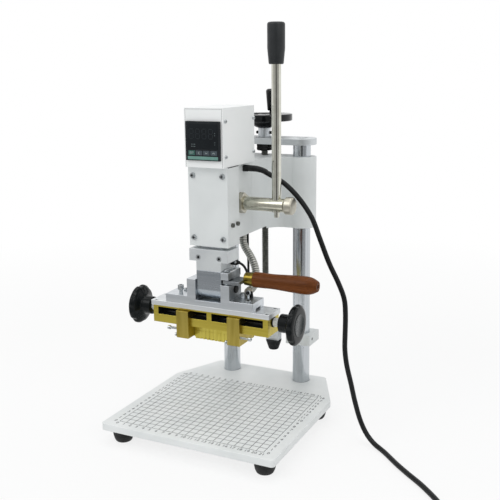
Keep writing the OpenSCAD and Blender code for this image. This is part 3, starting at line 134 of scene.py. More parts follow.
# tones: two colours that the surface drifts between over driftMm
# rough: lowest and highest roughness, over roughMm
# grainMm, grainDepth: size and depth in mm of the fine relief
# stretch: how much longer than wide the grain is along X, Y and Z
# groove: the colour where the piece's groove attribute is 1, painted shade in the grooves
finishes = {
    # stoved powder on the castings, front cover and collars: satin white with a fine orange peel
    "whitePowderCoat": {"tones": ("#DFE3E3", "#D8DCDC"), "driftMm": 60, "rough": (0.38, 0.5), "roughMm": 9,
                        "grainMm": 1.3, "grainDepth": 0.012, "sockets": {"IOR": 1.5}},
    # stoved powder on folded sheet: the same white, flatter and a little glossier
    "whitePowderCoatSheet": {"tones": ("#F4F6F6", "#EEF1F1"), "driftMm": 80, "rough": (0.34, 0.44), "roughMm": 12,
                             "grainMm": 1.0, "grainDepth": 0.006, "sockets": {"IOR": 1.5}},
    # stoved powder on the table: bright white, scuffed a little by the work
    "whitePowderCoatTable": {"tones": ("#EBEEEE", "#E3E7E7"), "driftMm": 45, "rough": (0.3, 0.46), "roughMm": 16,
                             "grainMm": 1.1, "grainDepth": 0.006, "sockets": {"IOR": 1.5}},
    # clear anodised and bead blasted aluminium: pale, with a soft sheen
    "blastedAluminium": {"tones": ("#D6DADB", "#CCD0D2"), "driftMm": 25, "rough": (0.42, 0.52), "roughMm": 4,
                         "grainMm": 0.5, "grainDepth": 0.006, "sockets": {"Metallic": 0.5}},
    # satin anodised aluminium of the crossbar: silver grey, even
    "satinAnodisedAluminium": {"tones": ("#D2D6D8", "#C8CCCE"), "driftMm": 30, "rough": (0.4, 0.5), "roughMm": 5,
                               "grainMm": 0.6, "grainDepth": 0.003, "sockets": {"Metallic": 0.85}},
    # milled aluminium: cool grey with the cutter's lines
    "milledAluminium": {"tones": ("#D5D9DD", "#C9CED2"), "driftMm": 6, "rough": (0.28, 0.4), "roughMm": 1.2,
                        "grainMm": 0.5, "grainDepth": 0.003, "stretch": (24, 1, 1), "sockets": {"Metallic": 1.0}},
    # fine milled and deburred aluminium of the heated plate: whiter, with a soft sheen
    "fineMilledAluminium": {"tones": ("#E3E6E7", "#D8DBDD"), "driftMm": 8, "rough": (0.3, 0.42), "roughMm": 1.4,
                            "grainMm": 0.5, "grainDepth": 0.003, "stretch": (24, 1, 1), "sockets": {"Metallic": 0.8}},
    # sawn aluminium: dull mid grey with the saw's lines; on the outer sides of the clevis's ear and the cap it is
    # painted shade
    "sawnAluminiumAndShade": {"tones": ("#9CA0A3", "#878B8E"), "driftMm": 3, "rough": (0.36, 0.5), "roughMm": 1.2,
                      "grainMm": 0.6, "grainDepth": 0.006, "stretch": (1, 1, 14), "sockets": {"Metallic": 1.0}},
    # ground steel of the tongue: smooth blue grey, brighter where it curves
    "groundSteel": {"tones": ("#AEB4BA", "#A4ABB1"), "driftMm": 5, "rough": (0.2, 0.28), "roughMm": 1.0,
                    "grainMm": 0.5, "grainDepth": 0.001, "stretch": (30, 1, 1), "sockets": {"Metallic": 1.0}},
    # ground and hard chromed steel bar: mirror bright, with faint grinding lines along it
    "chromedSteel": {"tones": ("#C6CACE", "#BABFC3"), "driftMm": 2.5, "rough": (0.16, 0.23), "roughMm": 1.5,
                     "grainMm": 1.2, "grainDepth": 0.0005, "stretch": (1, 1, 200), "sockets": {"Metallic": 1.0}},
    # nickel plated and polished rod: warm grey, mirrors its surroundings in lines
    "polishedNickelSteel": {"tones": ("#D4D4CA", "#CAC9BE"), "driftMm": 9, "rough": (0.06, 0.11), "roughMm": 1.5,
                            "grainMm": 0.8, "grainDepth": 0.0003, "sockets": {"Metallic": 1.0}},
    # nickel plated and blasted nuts: the same warm grey, dull
    "blastedNickelSteel": {"tones": ("#C4C1B4", "#B8B4A7"), "driftMm": 5, "rough": (0.34, 0.44), "roughMm": 1.5,
                           "grainMm": 0.5, "grainDepth": 0.003, "sockets": {"Metallic": 1.0}},
    # nickel plated and turned steel: warm grey with fine rings from the lathe
    "nickelPlatedSteel": {"tones": ("#CCCBBC", "#C1BFB0"), "driftMm": 9, "rough": (0.18, 0.26), "roughMm": 1.5,
                          "grainMm": 0.8, "grainDepth": 0.001, "sockets": {"Metallic": 1.0}},
    # zinc plated screws: bright, cloudy
    "zincPlatedSteel": {"tones": ("#C6CACC", "#A9AEB0"), "driftMm": 2, "rough": (0.22, 0.4), "roughMm": 1.0,
                        "grainMm": 0.4, "grainDepth": 0.003, "sockets": {"Metallic": 1.0}},
    # blackened steel screws: dark grey with an oily sheen; the same near black is painted shade on the jaws' spindle
    # threads and on the thin ring at the foot of the handwheel's sleeve
    "blackenedSteelAndShade": {"tones": ("#2C2E2F", "#1D1F20"), "driftMm": 2, "rough": (0.32, 0.46), "roughMm": 1.0,
                       "grainMm": 0.4, "grainDepth": 0.003, "sockets": {"Metallic": 0.9}},
    # painted shade in the screws' recesses, the box's seams and the holder's windows: almost black, dull
    "oiledRecess": {"tones": ("#141515", "#0C0D0D"), "driftMm": 1, "rough": (0.55, 0.7), "roughMm": 1.0,
                    "grainMm": 0.4, "grainDepth": 0.003, "sockets": {"IOR": 1.3}},
    # plain steel screws, rolled and greased: dull grey, darker in the flanks; on the gib screws this grey is partly
    # painted shade, standing for bright heads with shade in their sockets
    "greasedSteelAndShade": {"tones": ("#63645F", "#41423C"), "driftMm": 3, "rough": (0.28, 0.5), "roughMm": 1.5,
                     "grainMm": 0.6, "grainDepth": 0.006, "sockets": {"Metallic": 0.4}},
    # milled free-cutting brass: warm yellow, with the cutter's lines and a little tarnish
    "milledBrass": {"tones": ("#C6B551", "#B8A746"), "driftMm": 5, "rough": (0.28, 0.4), "roughMm": 1.5,
                    "grainMm": 0.5, "grainDepth": 0.003, "stretch": (20, 1, 1), "sockets": {"Metallic": 1.0}},
    # sawn brass jaws: the same metal, browner where it has been handled
    "handledBrass": {"tones": ("#B4A252", "#A39144"), "driftMm": 5, "rough": (0.28, 0.42), "roughMm": 2,
                     "grainMm": 0.6, "grainDepth": 0.003, "stretch": (1, 1, 12), "sockets": {"Metallic": 1.0}},
    # engraved brass type: bright lemon yellow
    "engravedBrass": {"tones": ("#D6C860", "#C8B950"), "driftMm": 4, "rough": (0.28, 0.38), "roughMm": 1,
                      "grainMm": 0.4, "grainDepth": 0.002, "stretch": (1, 1, 10), "sockets": {"Metallic": 0.9}},
    # pressed brass of the ferrule and the plug's blades: polished, an old gold
    "pressedBrass": {"tones": ("#867433", "#706125"), "driftMm": 5, "rough": (0.16, 0.26), "roughMm": 1.5,
                     "grainMm": 0.6, "grainDepth": 0.002, "sockets": {"Metallic": 1.0}},
    # moulded phenolic of the handwheel, its grip and the small caps: glossy black
    "mouldedPhenolic": {"tones": ("#101213", "#0B0D0E"), "driftMm": 18, "rough": (0.08, 0.14), "roughMm": 9,
                        "grainMm": 5, "grainDepth": 0.004, "sockets": {"IOR": 1.36}},
    # moulded phenolic knobs, worn by hands: black with a softer shine
    "handledPhenolic": {"tones": ("#171A1B", "#121516"), "driftMm": 18, "rough": (0.09, 0.15), "roughMm": 9,
                        "grainMm": 5, "grainDepth": 0.004, "sockets": {"IOR": 1.23}},
    # the lever's moulded grip: charcoal, satin
    "mouldedGrip": {"tones": ("#2A2D2F", "#25282A"), "driftMm": 14, "rough": (0.34, 0.44), "roughMm": 6,
                    "grainMm": 0.8, "grainDepth": 0.004, "sockets": {"IOR": 1.38}},
    # moulded insert in a knob's face: dark grey, satin
    "mouldedGreyInsert": {"tones": ("#2E3335", "#2A2F31"), "driftMm": 8, "rough": (0.22, 0.3), "roughMm": 4,
                          "grainMm": 0.8, "grainDepth": 0.0002, "sockets": {"IOR": 1.34}},
    # moulded rubber: matt black with a bloom; also the painted contact shade under the box
    "mouldedRubber": {"tones": ("#161819", "#0F1112"), "driftMm": 9, "rough": (0.5, 0.68), "roughMm": 4,
                      "grainMm": 0.7, "grainDepth": 0.012, "sockets": {"IOR": 1.4}},
    # moulded ABS of the controller: black, finely textured
    "mouldedAbs": {"tones": ("#1B2024", "#161B1F"), "driftMm": 15, "rough": (0.38, 0.5), "roughMm": 3,
                   "grainMm": 0.4, "grainDepth": 0.006, "sockets": {"IOR": 1.35}},
    # smoked acrylic window: nearly black, glossy
    "smokedAcrylic": {"tones": ("#141A1E", "#11161A"), "driftMm": 20, "rough": (0.08, 0.14), "roughMm": 10,
                      "grainMm": 8, "grainDepth": 0.002, "sockets": {"IOR": 1.33}},
    # unlit segments behind the window: a shade lighter
    "unlitSegment": {"tones": ("#20262A", "#1C2226"), "driftMm": 4, "rough": (0.3, 0.4), "roughMm": 2,
                     "grainMm": 0.5, "grainDepth": 0.002, "sockets": {"IOR": 1.33}},
    # printed membrane strip: teal, satin
    "printedTeal": {"tones": ("#6A958B", "#618C82"), "driftMm": 6, "rough": (0.38, 0.48), "roughMm": 2,
                    "grainMm": 0.5, "grainDepth": 0.003, "sockets": {"IOR": 1.5}},
    # silicone keys: slate grey, soft sheen
    "mouldedSilicone": {"tones": ("#454F55", "#3D474D"), "driftMm": 4, "rough": (0.45, 0.58), "roughMm": 2,
                        "grainMm": 0.4, "grainDepth": 0.005, "sockets": {"IOR": 1.45}},
    # the set key's silicone: dark green
    "mouldedSiliconeGreen": {"tones": ("#3A665E", "#335D55"), "driftMm": 4, "rough": (0.45, 0.58), "roughMm": 2,
                             "grainMm": 0.4, "grainDepth": 0.005, "sockets": {"IOR": 1.45}},
    # screen printed pale ink
    "printedPaleInk": {"tones": ("#A7B3B1", "#98A4A2"), "driftMm": 2, "rough": (0.5, 0.6), "roughMm": 1,
                       "grainMm": 0.3, "grainDepth": 0.002, "sockets": {"IOR": 1.5}},
    # the window's small printed marks: grey, dull
    "printedGreyInk": {"tones": ("#586264", "#4D5759"), "driftMm": 2, "rough": (0.5, 0.6), "roughMm": 1,
                       "grainMm": 0.3, "grainDepth": 0.002, "sockets": {"IOR": 1.4}},
    # screen printed black ink of the table's scale
    "printedBlackInk": {"tones": ("#22282B", "#30373A"), "driftMm": 12, "rough": (0.5, 0.62), "roughMm": 3,
                        "grainMm": 0.4, "grainDepth": 0.002, "sockets": {"IOR": 1.4}},
    # turned nylon sleeves: milky white, satin
    "turnedNylon": {"tones": ("#E6E8E6", "#DCDEDC"), "driftMm": 6, "rough": (0.36, 0.48), "roughMm": 1.5,
                    "grainMm": 0.5, "grainDepth": 0.003, "stretch": (0.3, 6, 6), "sockets": {"IOR": 1.5}},
    # unglazed steatite: creamy white, matt
    "pressedSteatite": {"tones": ("#E2DDCF", "#D3CCBB"), "driftMm": 4, "rough": (0.5, 0.66), "roughMm": 2,
                        "grainMm": 0.5, "grainDepth": 0.01, "sockets": {"IOR": 1.6}},
    # wound steel strip, galvanised: grey, with painted shade darkening the grooves between the crests
    "galvanisedStrip": {"tones": ("#C0C0BB", "#B0B0AA"), "driftMm": 3, "rough": (0.26, 0.4), "roughMm": 1,
                        "grainMm": 0.5, "grainDepth": 0.002, "groove": "#5C5D5A", "sockets": {"Metallic": 0.85}},
    # extruded flexible vinyl: black, a low sheen with drawing lines
    "extrudedVinyl": {"tones": ("#101213", "#0A0C0D"), "driftMm": 30, "rough": (0.36, 0.48), "roughMm": 5,
                      "grainMm": 0.8, "grainDepth": 0.006, "sockets": {"IOR": 1.33}},
}

# shared by these finishes: where the two tones lie on the drift, the mottle's span and the relief's strength
finishNoise = {"toneStops": (0.36, 0.62), "mottle": (0.3, 0.7), "relief": 0.6, "driftDetail": 3.0, "fineDetail": 2.0}


def makeFinish(name, recipe):
    material, tree, shader = startMaterial(name, recipe["sockets"])
    place = addNode(tree, "ShaderNodeTexCoord").outputs["Object"]
    drawn = addNode(tree, "ShaderNodeMapping",
                    {"Vector": place, "Scale": [1 / s for s in recipe.get("stretch", (1, 1, 1))]}).outputs["Vector"]
    drift, mottle, grain = (
        addNode(tree, "ShaderNodeTexNoise", {"Vector": drawn, "Scale": metre / recipe[size],
                                             "Detail": finishNoise[detail]}).outputs["Fac"]
        for size, detail in (("driftMm", "driftDetail"), ("roughMm", "fineDetail"), ("grainMm", "fineDetail")))
    tones = addNode(tree, "ShaderNodeValToRGB", {"Fac": drift})
    for stop, tone, at in zip(tones.color_ramp.elements, reversed(recipe["tones"]), finishNoise["toneStops"]):
        stop.color = hexToLinear(tone)
        stop.position = at
    colour = tones.outputs["Color"]
    if "groove" in recipe:
        sunk = addNode(tree, "ShaderNodeAttribute", attribute_name="groove")
        colour = addNode(tree, "ShaderNodeMix", {"Factor": sunk.outputs["Fac"], "A": colour,
                                                 "B": hexToLinear(recipe["groove"])}, data_type="RGBA").outputs[2]
    tree.links.new(colour, shader.inputs["Base Color"])
    (start, end), (low, high) = finishNoise["mottle"], recipe["rough"]
    rough = addNode(tree, "ShaderNodeMapRange",
                    {"Value": mottle, "From Min": start, "From Max": end, "To Min": low, "To Max": high})
    tree.links.new(rough.outputs["Result"], shader.inputs["Roughness"])
    bump = addNode(tree, "ShaderNodeBump",
                   {"Height": grain, "Strength": finishNoise["relief"], "Distance": recipe["grainDepth"] * mm})
    tree.links.new(bump.outputs["Normal"], shader.inputs["Normal"])
    return material


finish = {name: makeFinish(name, recipe) for name, recipe in finishes.items()}


# turned and oiled hardwood: red-brown, with long dark pores along the handle
handleWood = {"light": "#7B431A", "middle": "#643612", "dark": "#3E1D09", "toneStops": (0.12, 0.45, 0.85),
              "length": 26,  # the grain is this many times longer than wide
              "ringMm": 1.3, "waver": 9.0, "warpMm": 9, "warpShare": 0.72, "poreMm": 0.5, "poreEdge": (0.3, 0.46),
              "poreStain": 0.55, "poreDepth": 0.03, "relief": 0.5, "mottle": (0.3, 0.7), "rough": (0.5, 0.32),
              "ior": 1.24}


def makeWood(wood):
    material, tree, shader = startMaterial("turnedOiledHardwood", {"IOR": wood["ior"]})
    place = addNode(tree, "ShaderNodeTexCoord").outputs["Object"]
    along = addNode(tree, "ShaderNodeMapping",
                    {"Vector": place, "Scale": (1 / wood["length"], 1, 1)}).outputs["Vector"]
    warp = addNode(tree, "ShaderNodeTexNoise", {"Vector": along, "Scale": metre / wood["warpMm"], "Detail": 3.0})
    bandGap = math.tau / 20  # how far apart a wave texture's bands are at scale 1
    rings = addNode(tree, "ShaderNodeTexWave", {"Vector": along, "Scale": bandGap * metre / wood["ringMm"],
                                                "Distortion": wood["waver"], "Detail": 3.0, "Detail Scale": 0.6},
                    wave_type="BANDS", bands_direction="Z")
    pores = addNode(tree, "ShaderNodeTexNoise", {"Vector": along, "Scale": metre / wood["poreMm"],
                                                 "Detail": 1.0}).outputs["Fac"]
    figure = addNode(tree, "ShaderNodeMix", {"Factor": wood["warpShare"], "A": rings.outputs["Fac"],
                                             "B": warp.outputs["Fac"]}, data_type="FLOAT")
    tones = addNode(tree, "ShaderNodeValToRGB", {"Fac": figure.outputs[0]})
    tones.color_ramp.elements.new(0.5)
    for stop, tone, at in zip(tones.color_ramp.elements, ("dark", "middle", "light"), wood["toneStops"]):
        stop.color = hexToLinear(wood[tone])
        stop.position = at
    low, high = wood["poreEdge"]
    poreMask = addNode(tree, "ShaderNodeMapRange", {"Value": pores, "From Min": low, "From Max": high,
                                                    "To Min": wood["poreStain"], "To Max": 0.0})
    stained = addNode(tree, "ShaderNodeMix", {"Factor": poreMask.outputs["Result"], "A": tones.outputs["Color"],
                                              "B": hexToLinear(wood["dark"])}, data_type="RGBA")
    tree.links.new(stained.outputs[2], shader.inputs["Base Color"])
    (low, high), (dull, glossy) = wood["mottle"], wood["rough"]
    rough = addNode(tree, "ShaderNodeMapRange", {"Value": pores, "From Min": low, "From Max": high,
                                                 "To Min": dull, "To Max": glossy})
    tree.links.new(rough.outputs["Result"], shader.inputs["Roughness"])
    bump = addNode(tree, "ShaderNodeBump", {"Height": pores, "Strength": wood["relief"],
                                            "Distance": wood["poreDepth"] * mm})
    tree.links.new(bump.outputs["Normal"], shader.inputs["Normal"])
    return material


finish["turnedOiledHardwood"] = makeWood(handleWood)
print("finishes made:", len(finish))

# shaping helpers: turns from +Z to the way a piece faces
axisTurns = {
    "z": Matrix.Identity(4), "-y": Matrix.Rotation(math.pi / 2, 4, "X"),
    "x": Matrix.Rotation(math.pi / 2, 4, "Y"), "-x": Matrix.Rotation(-math.pi / 2, 4, "Y"),
}
outward = {-1: "-x", 1: "x"}  # away from the middle, on the left and on the right


def addSpun(bm, profile, centre, axis="z", steps=40):
    # profile: radius and height pairs in mm, heights along the axis from the centre
    verts = [bm.verts.new((radius * mm, 0, height * mm)) for radius, height in profile]
    edges = [bm.edges.new(pair) for pair in zip(verts, verts[1:])]
    made = bmesh.ops.spin(bm, geom=verts + edges, cent=(0, 0, 0), axis=(0, 0, 1), angle=math.tau,
                          steps=steps, use_merge=True, use_duplicate=False)
    last = [v for v in made["geom_last"] if isinstance(v, bmesh.types.BMVert)]
    reach = dict.fromkeys(v for v in verts + last if v.is_valid)
    front = list(reach)
    while front:  # every vertex joined to the profile belongs to the turned shape
        for e in front.pop().link_edges:
            for v in e.verts:
                if v not in reach:
                    reach[v] = None
                    front.append(v)
    bmesh.ops.remove_doubles(bm, verts=list(reach), dist=weld)
    spun = [v for v in reach if v.is_valid]
    bmesh.ops.transform(bm, matrix=Matrix.Translation(Vector(centre) * mm) @ axisTurns[axis], verts=spun)
    return spun


def edgesOf(verts):
    return list(dict.fromkeys(e for v in verts for e in v.link_edges))


def addBox(bm, low, high, bevel=0.0):
    made = bmesh.ops.create_cube(bm, size=1.0)["verts"]
    size = [(b - a) * mm for a, b in zip(low, high)]
    middle = Vector([(a + b) / 2 * mm for a, b in zip(low, high)])
    bmesh.ops.scale(bm, vec=size, verts=made)
    bmesh.ops.translate(bm, vec=middle, verts=made)
    if bevel:
        bmesh.ops.bevel(bm, geom=edgesOf(made), offset=bevel * mm, segments=2, profile=0.5, affect="EDGES",
                        material=-1)


def addSocket(bm, centre, axis, across, depth):
    # a six-sided plug, its top at the centre
    made = bmesh.ops.create_cone(bm, cap_ends=True, segments=6, radius1=across / 2 * mm, radius2=across / 2 * mm,
                                 depth=depth * mm)["verts"]
    bmesh.ops.translate(bm, vec=(0, 0, -depth / 2 * mm), verts=made)
    bmesh.ops.transform(bm, matrix=Matrix.Translation(Vector(centre) * mm) @ axisTurns[axis], verts=made)


def addCross(bm, centre, axis, long, wide, depth):
    for x, y in ((long, wide), (wide, long)):
        made = bmesh.ops.create_cube(bm, size=1.0)["verts"]
        bmesh.ops.scale(bm, vec=(x * mm, y * mm, depth * mm), verts=made)
        bmesh.ops.translate(bm, vec=(0, 0, -depth / 2 * mm), verts=made)
        bmesh.ops.transform(bm, matrix=Matrix.Translation(Vector(centre) * mm) @ axisTurns[axis], verts=made)


def turnShellsOut(bm):
    # the operator can leave a closed shell inside out, differently from run to run, so the shell's volume decides
    bmesh.ops.recalc_face_normals(bm, faces=bm.faces)
    left = dict.fromkeys(bm.faces)
    while left:
        shell = [left.popitem()[0]]
        for face in shell:  # the list grows as it is read
            for other in [f for e in face.edges for f in e.link_faces if f in left]:
                if left.pop(other, other) is None:
                    shell.append(other)
        start = shell[0].verts[0].co.copy()
        volume = 0.0
        for face in shell:
            first, *others = [v.co - start for v in face.verts]
            volume += sum(first.dot(a.cross(b)) for a, b in zip(others, others[1:]))
        if volume < 0 and all(e.is_manifold for face in shell for e in face.edges):
            bmesh.ops.reverse_faces(bm, faces=shell)


def placePiece(bm, name, material, body, slot, smoothAngle=35.0, recalc=True):
    if recalc:
        turnShellsOut(bm)
    mesh = bpy.data.meshes.new(name)
    bm.to_mesh(mesh)
    bm.free()
    mesh.materials.append(finish[material])
    mesh.polygons.foreach_set("use_smooth", [True] * len(mesh.polygons))
    mesh.set_sharp_from_angle(angle=math.radians(smoothAngle))
    piece = bpy.data.objects.new(name, mesh)
    scene.collection.objects.link(piece)
    if body:
        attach(piece, body)
    return piece


def makeBlocks(name, blocks, bevel, *look, smoothAngle=35.0):
    # blocks: lowest and highest corner of each; look: material, body and slot, and the slot is not used
    bm = bmesh.new()
    for low, high in blocks:
        addBox(bm, low, high, bevel)
    return placePiece(bm, name, *look, smoothAngle=smoothAngle)


def smoothRoute(points, steps):
    # the same curve through the points as the leads' solids follow
    points = [Vector(p) for p in points]
    last = len(points) - 1
    line = []
    for i in range(last):
        a, b, c, d = points[max(i - 1, 0)], points[i], points[i + 1], points[min(i + 2, last)]
        for k in range(steps):
            u = k / steps
            line.append(b + u * (c - a) / 2 + u * u * (a - 2.5 * b + 2 * c - d / 2)
                        + u ** 3 * (1.5 * (b - c) + (d - a) / 2))
    return line + [points[-1]]


def evenLine(line, step):
    # the same line with its points a step apart
    out, left = [line[0]], step
    for a, b in zip(line, line[1:]):
        span = (b - a).length
        while span >= left and span > 1e-9:
            a = a + (b - a) * (left / span)
            out.append(a)
            span = (b - a).length
            left = step
        left -= span
    if (out[-1] - line[-1]).length < step * 0.4:
        out.pop()
    return out + [line[-1]]


def makeTube(name, line, diameter, material, slot, radii=None, roundness=3):
    curve = bpy.data.curves.new(name, "CURVE")
    curve.dimensions = "3D"
    curve.bevel_depth = diameter / 2 * mm
    curve.bevel_resolution = roundness
    curve.use_fill_caps = True
    curve.twist_mode = "MINIMUM"
    spline = curve.splines.new("POLY")
    spline.points.add(len(line) - 1)
    for i, (point, at) in enumerate(zip(spline.points, line)):
        point.co = (*(at * mm), 1.0)
        point.radius = radii[i] if radii else 1.0
    rough = bpy.data.objects.new(name + "Line", curve)
    scene.collection.objects.link(rough)
    mesh = bpy.data.meshes.new_from_object(rough.evaluated_get(bpy.context.evaluated_depsgraph_get()))
    bpy.data.objects.remove(rough)
    bpy.data.curves.remove(curve)
    bm = bmesh.new()
    bm.from_mesh(mesh)
    bpy.data.meshes.remove(mesh)
    bmesh.ops.remove_doubles(bm, verts=bm.verts, dist=weld)
    return placePiece(bm, name, material, None, slot, smoothAngle=50.0)


# the mains lead: from the gland to the floor, a coil, and the plug
mainsLead = {
    "diameter": 6.6, "length": 1.597,  # mm and m
    "route": [
        (32, 5, 356), (42, 5, 356), (60, 5, 348), (76, 5, 340), (90, 5, 329), (104, 5, 314), (117, 5, 295),
        (127, 5, 271), (140, 5, 240), (153, 5, 215), (161, 5, 195), (163, 5, 174), (163, 5, 150), (163, 5, 128),
        (165.9, 5.4, 105.9), (170.9, 8.2, 81.6), (175.7, 11, 56.8), (182.7, 12.3, 32), (192.4, 9.5, 15.2),
        (205.5, 2.6, 6), (223.8, -10.7, 3.4), (247.1, -35, 3.4), (265.3, -52.2, 3.4), (287.6, -72.4, 3.4),
        (310.9, -97.7, 3.4), (332.1, -126.1, 3.4), (357.7, -160.2, 3.4), (362.5, -166.6, 3.4)],
    "coilWay": (0.6, -0.8, 0), "coilRadius": 43.0, "coilPitch": 7.3, "coilTurns": 2, "turnSteps": 48,
    "tail": (6.6, 20.0, 33.0, 46.0), "smooth": 12, "step": 6.0,
    "bendStart": (32, 5, 356), "bendEnd": (205.5, 2.6, 6),
}


def coilLine(lead):
    way = Vector(lead["coilWay"])
    start = Vector(lead["route"][-1])
    middle = start + lead["coilRadius"] * Vector((way.y, -way.x, 0))
    first = math.atan2(start.y - middle.y, start.x - middle.x)
    turns = lead["coilTurns"]
    line = []
    for k in range(1, 2 * turns * lead["turnSteps"] + 1):
        t = k / lead["turnSteps"]
        angle = first - math.tau * t
        radius = lead["coilRadius"] - lead["coilPitch"] * (turns - abs(turns - t))
        climb = max(0.0, min(1.0, 2 * (t - turns) + 0.5))  # to the upper layer over half a turn
        line.append(middle + Vector((radius * math.cos(angle), radius * math.sin(angle), climb * lead["coilPitch"])))
    end = line[-1]
    return line + [end + way * s for s in lead["tail"]], middle


coil, coilMiddle = coilLine(mainsLead)
mainsLine = evenLine(smoothRoute(mainsLead["route"], mainsLead["smooth"]), mainsLead["step"]) + coil
mainsTube = makeTube("mainsLead", mainsLine, mainsLead["diameter"], "extrudedVinyl", "cord_jacket")
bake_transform(mainsTube)
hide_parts("mains_lead", "mains_coil")

# the plug's body narrows towards the lead and has finger ridges; two brass blades
mainsPlug = {"relief": 16.0, "rings": 5, "ringRadius": (4.3, 0.5), "tuck": 2.4,  # ringRadius: the first, and more each
             "body": (34.0, 26.0, 20.0), "narrow": (1, 0.72, 0.8), "round": 3.2,
             "ridges": 4, "ridgeFirst": 7.0, "ridgeStep": 4.2, "ridge": (1.8, 10.6, 5.0),
             "blade": (18.0, 1.6, 6.4), "bladeGap": 12.7}


def makePlug(plug, lead, end):
    way = Vector(lead["coilWay"])
    turn = Matrix.Translation(end * mm) @ Matrix.Rotation(math.atan2(way.y, way.x), 4, "Z")
    relief, (long, wide, high) = plug["relief"], plug["body"]
    bm = bmesh.new()
    count, tuck, (first, more) = plug["rings"], plug["tuck"], plug["ringRadius"]
    rings = [(0, -3.0), (3.4, -3.0), (4.4, -2.6)]
    for k in range(count):
        at = -tuck + k * (relief + tuck) / count
        swell = first + k * more
        rings += [(swell, at), (swell, at + 2.3), (swell - 0.8, at + 2.6), (swell - 0.8, at + 3.5)]
    addSpun(bm, rings + [(6.6, relief - 0.2), (6.6, relief + 1.0), (0.0, relief + 1.0)], (0, 0, 0), "x", 24)
    made = bmesh.ops.create_cube(bm, size=1.0)["verts"]
    bmesh.ops.scale(bm, vec=(long * mm, wide * mm, high * mm), verts=made)
    bmesh.ops.translate(bm, vec=((relief + long / 2) * mm, 0, 0), verts=made)
    near = [v for v in made if v.co.x < (relief + 1) * mm]
    bmesh.ops.scale(bm, vec=plug["narrow"], verts=near)
    bmesh.ops.bevel(bm, geom=edgesOf(made), offset=plug["round"] * mm, segments=4, profile=0.5, affect="EDGES",
                    material=-1)
    thick, out, half = plug["ridge"]
    for k in range(plug["ridges"]):
        at = relief + plug["ridgeFirst"] + k * plug["ridgeStep"]
        for side in (-1, 1):
            addBox(bm, (at, side * out - 2.0, -half), (at + thick, side * out + 1.6, half), 0.5)
    bmesh.ops.transform(bm, matrix=turn, verts=bm.verts)
    body = placePiece(bm, "mainsPlugBody", "mouldedRubber", "frame", "black_plastic")
    bm = bmesh.new()
    reach, thick, tall = plug["blade"]
    root = relief + long
    for side in (-0.5, 0.5):
        y = side * plug["bladeGap"]
        addBox(bm, (root - 2, y - thick / 2, -tall / 2), (root + reach, y + thick / 2, tall / 2), 0.35)
    bmesh.ops.transform(bm, matrix=turn, verts=bm.verts)
    blades = placePiece(bm, "mainsPlugBlades", "pressedBrass", "frame", "brass")
    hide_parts("mains_plug")
    return body, blades


# a soft strap round the coil's two layers
coilTie = {"width": 9.0, "thick": 1.0, "angle": 150.0, "inward": 0.9,  # inward: pitches past the inner turn
           "slackIn": 2.0, "slackOut": 0.6, "slackTop": 0.9}


def makeTie(tie, lead, middle):
    thick, half = tie["thick"], tie["width"] / 2
    inner = lead["coilRadius"] - (lead["coilTurns"] + tie["inward"]) * lead["coilPitch"] + tie["slackIn"]
    outer = lead["coilRadius"] + lead["diameter"] / 2 + tie["slackOut"]
    high = lead["coilPitch"] + lead["diameter"] + tie["slackTop"]
    bm = bmesh.new()
    for (x0, z0), (x1, z1) in (((inner - thick, 0.05), (inner, high)), ((outer, 0.05), (outer + thick, high)),
                               ((inner - thick, high - 0.1), (outer + thick, high + thick)),
                               ((inner - thick, 0.0), (outer + thick, 0.09))):
        addBox(bm, (x0, -half, z0), (x1, half, z1))
    turn = Matrix.Translation(Vector((middle.x, middle.y, 0)) * mm)
    bmesh.ops.transform(bm, matrix=turn @ Matrix.Rotation(math.radians(tie["angle"]), 4, "Z"), verts=bm.verts)
    return placePiece(bm, "coilTie", "mouldedRubber", "frame", "black_rubber")


plugPieces = makePlug(mainsPlug, mainsLead, coil[-1])
tiePiece = makeTie(coilTie, mainsLead, coilMiddle)
print("mains lead laid")

# the heater's conduit: wound steel strip from the carriage's arm to the terminals; its top slides in the arm
heaterConduit = {
    "diameter": 10.4, "ribMm": 3.2, "rib": (1.0, 1.0, 1.0, 0.95, 0.8, 0.95),  # rib: radius along one turn of strip
    "grooveFill": 1.3, "hidden": 18.0, "smooth": 10,
    "route": [(14, 12, 266), (14, 12, 261), (14.5, 12, 255.5), (19, 10, 248), (26, 7, 241), (33, 3, 233.5),
              (38.5, -1, 225), (42, -6, 216), (43.5, -12, 208), (43.5, -19, 203), (43.5, -25, 202), (43.5, -30, 202)],
    "bendStart": (31, 4, 236), "bendEnd": (43.5, -22, 202.5),
}
ribShape = heaterConduit["rib"]
conduitTop = Vector(heaterConduit["route"][0]) + Vector((0, 0, heaterConduit["hidden"]))
conduitLine = [conduitTop] + smoothRoute(heaterConduit["route"], heaterConduit["smooth"])
conduitLine = evenLine(conduitLine, heaterConduit["ribMm"] / len(ribShape))
ribRadii = [ribShape[i % len(ribShape)] for i in range(len(conduitLine))]
conduitTube = makeTube("heaterConduit", conduitLine, heaterConduit["diameter"], "galvanisedStrip",
                       "galvanised_conduit", ribRadii)


def markGrooves(tube, line, conduit):
    # painted shade: 1 at the bottom of the grooves, 0 on the crests
    full, groove = conduit["diameter"] / 2 * mm, min(conduit["rib"])
    near = KDTree(len(line))
    for i, point in enumerate(line):
        near.insert(point * mm, i)
    near.balance()
    depth = tube.data.attributes.new("groove", "FLOAT", "POINT")
    for v in tube.data.vertices:
        out = near.find(v.co)[2] / full
        depth.data[v.index].value = max(0.0, min(1.0, (1 - out) / (1 - groove) * conduit["grooveFill"]))


markGrooves(conduitTube, conduitLine, heaterConduit)
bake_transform(conduitTube)
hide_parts("conduit")

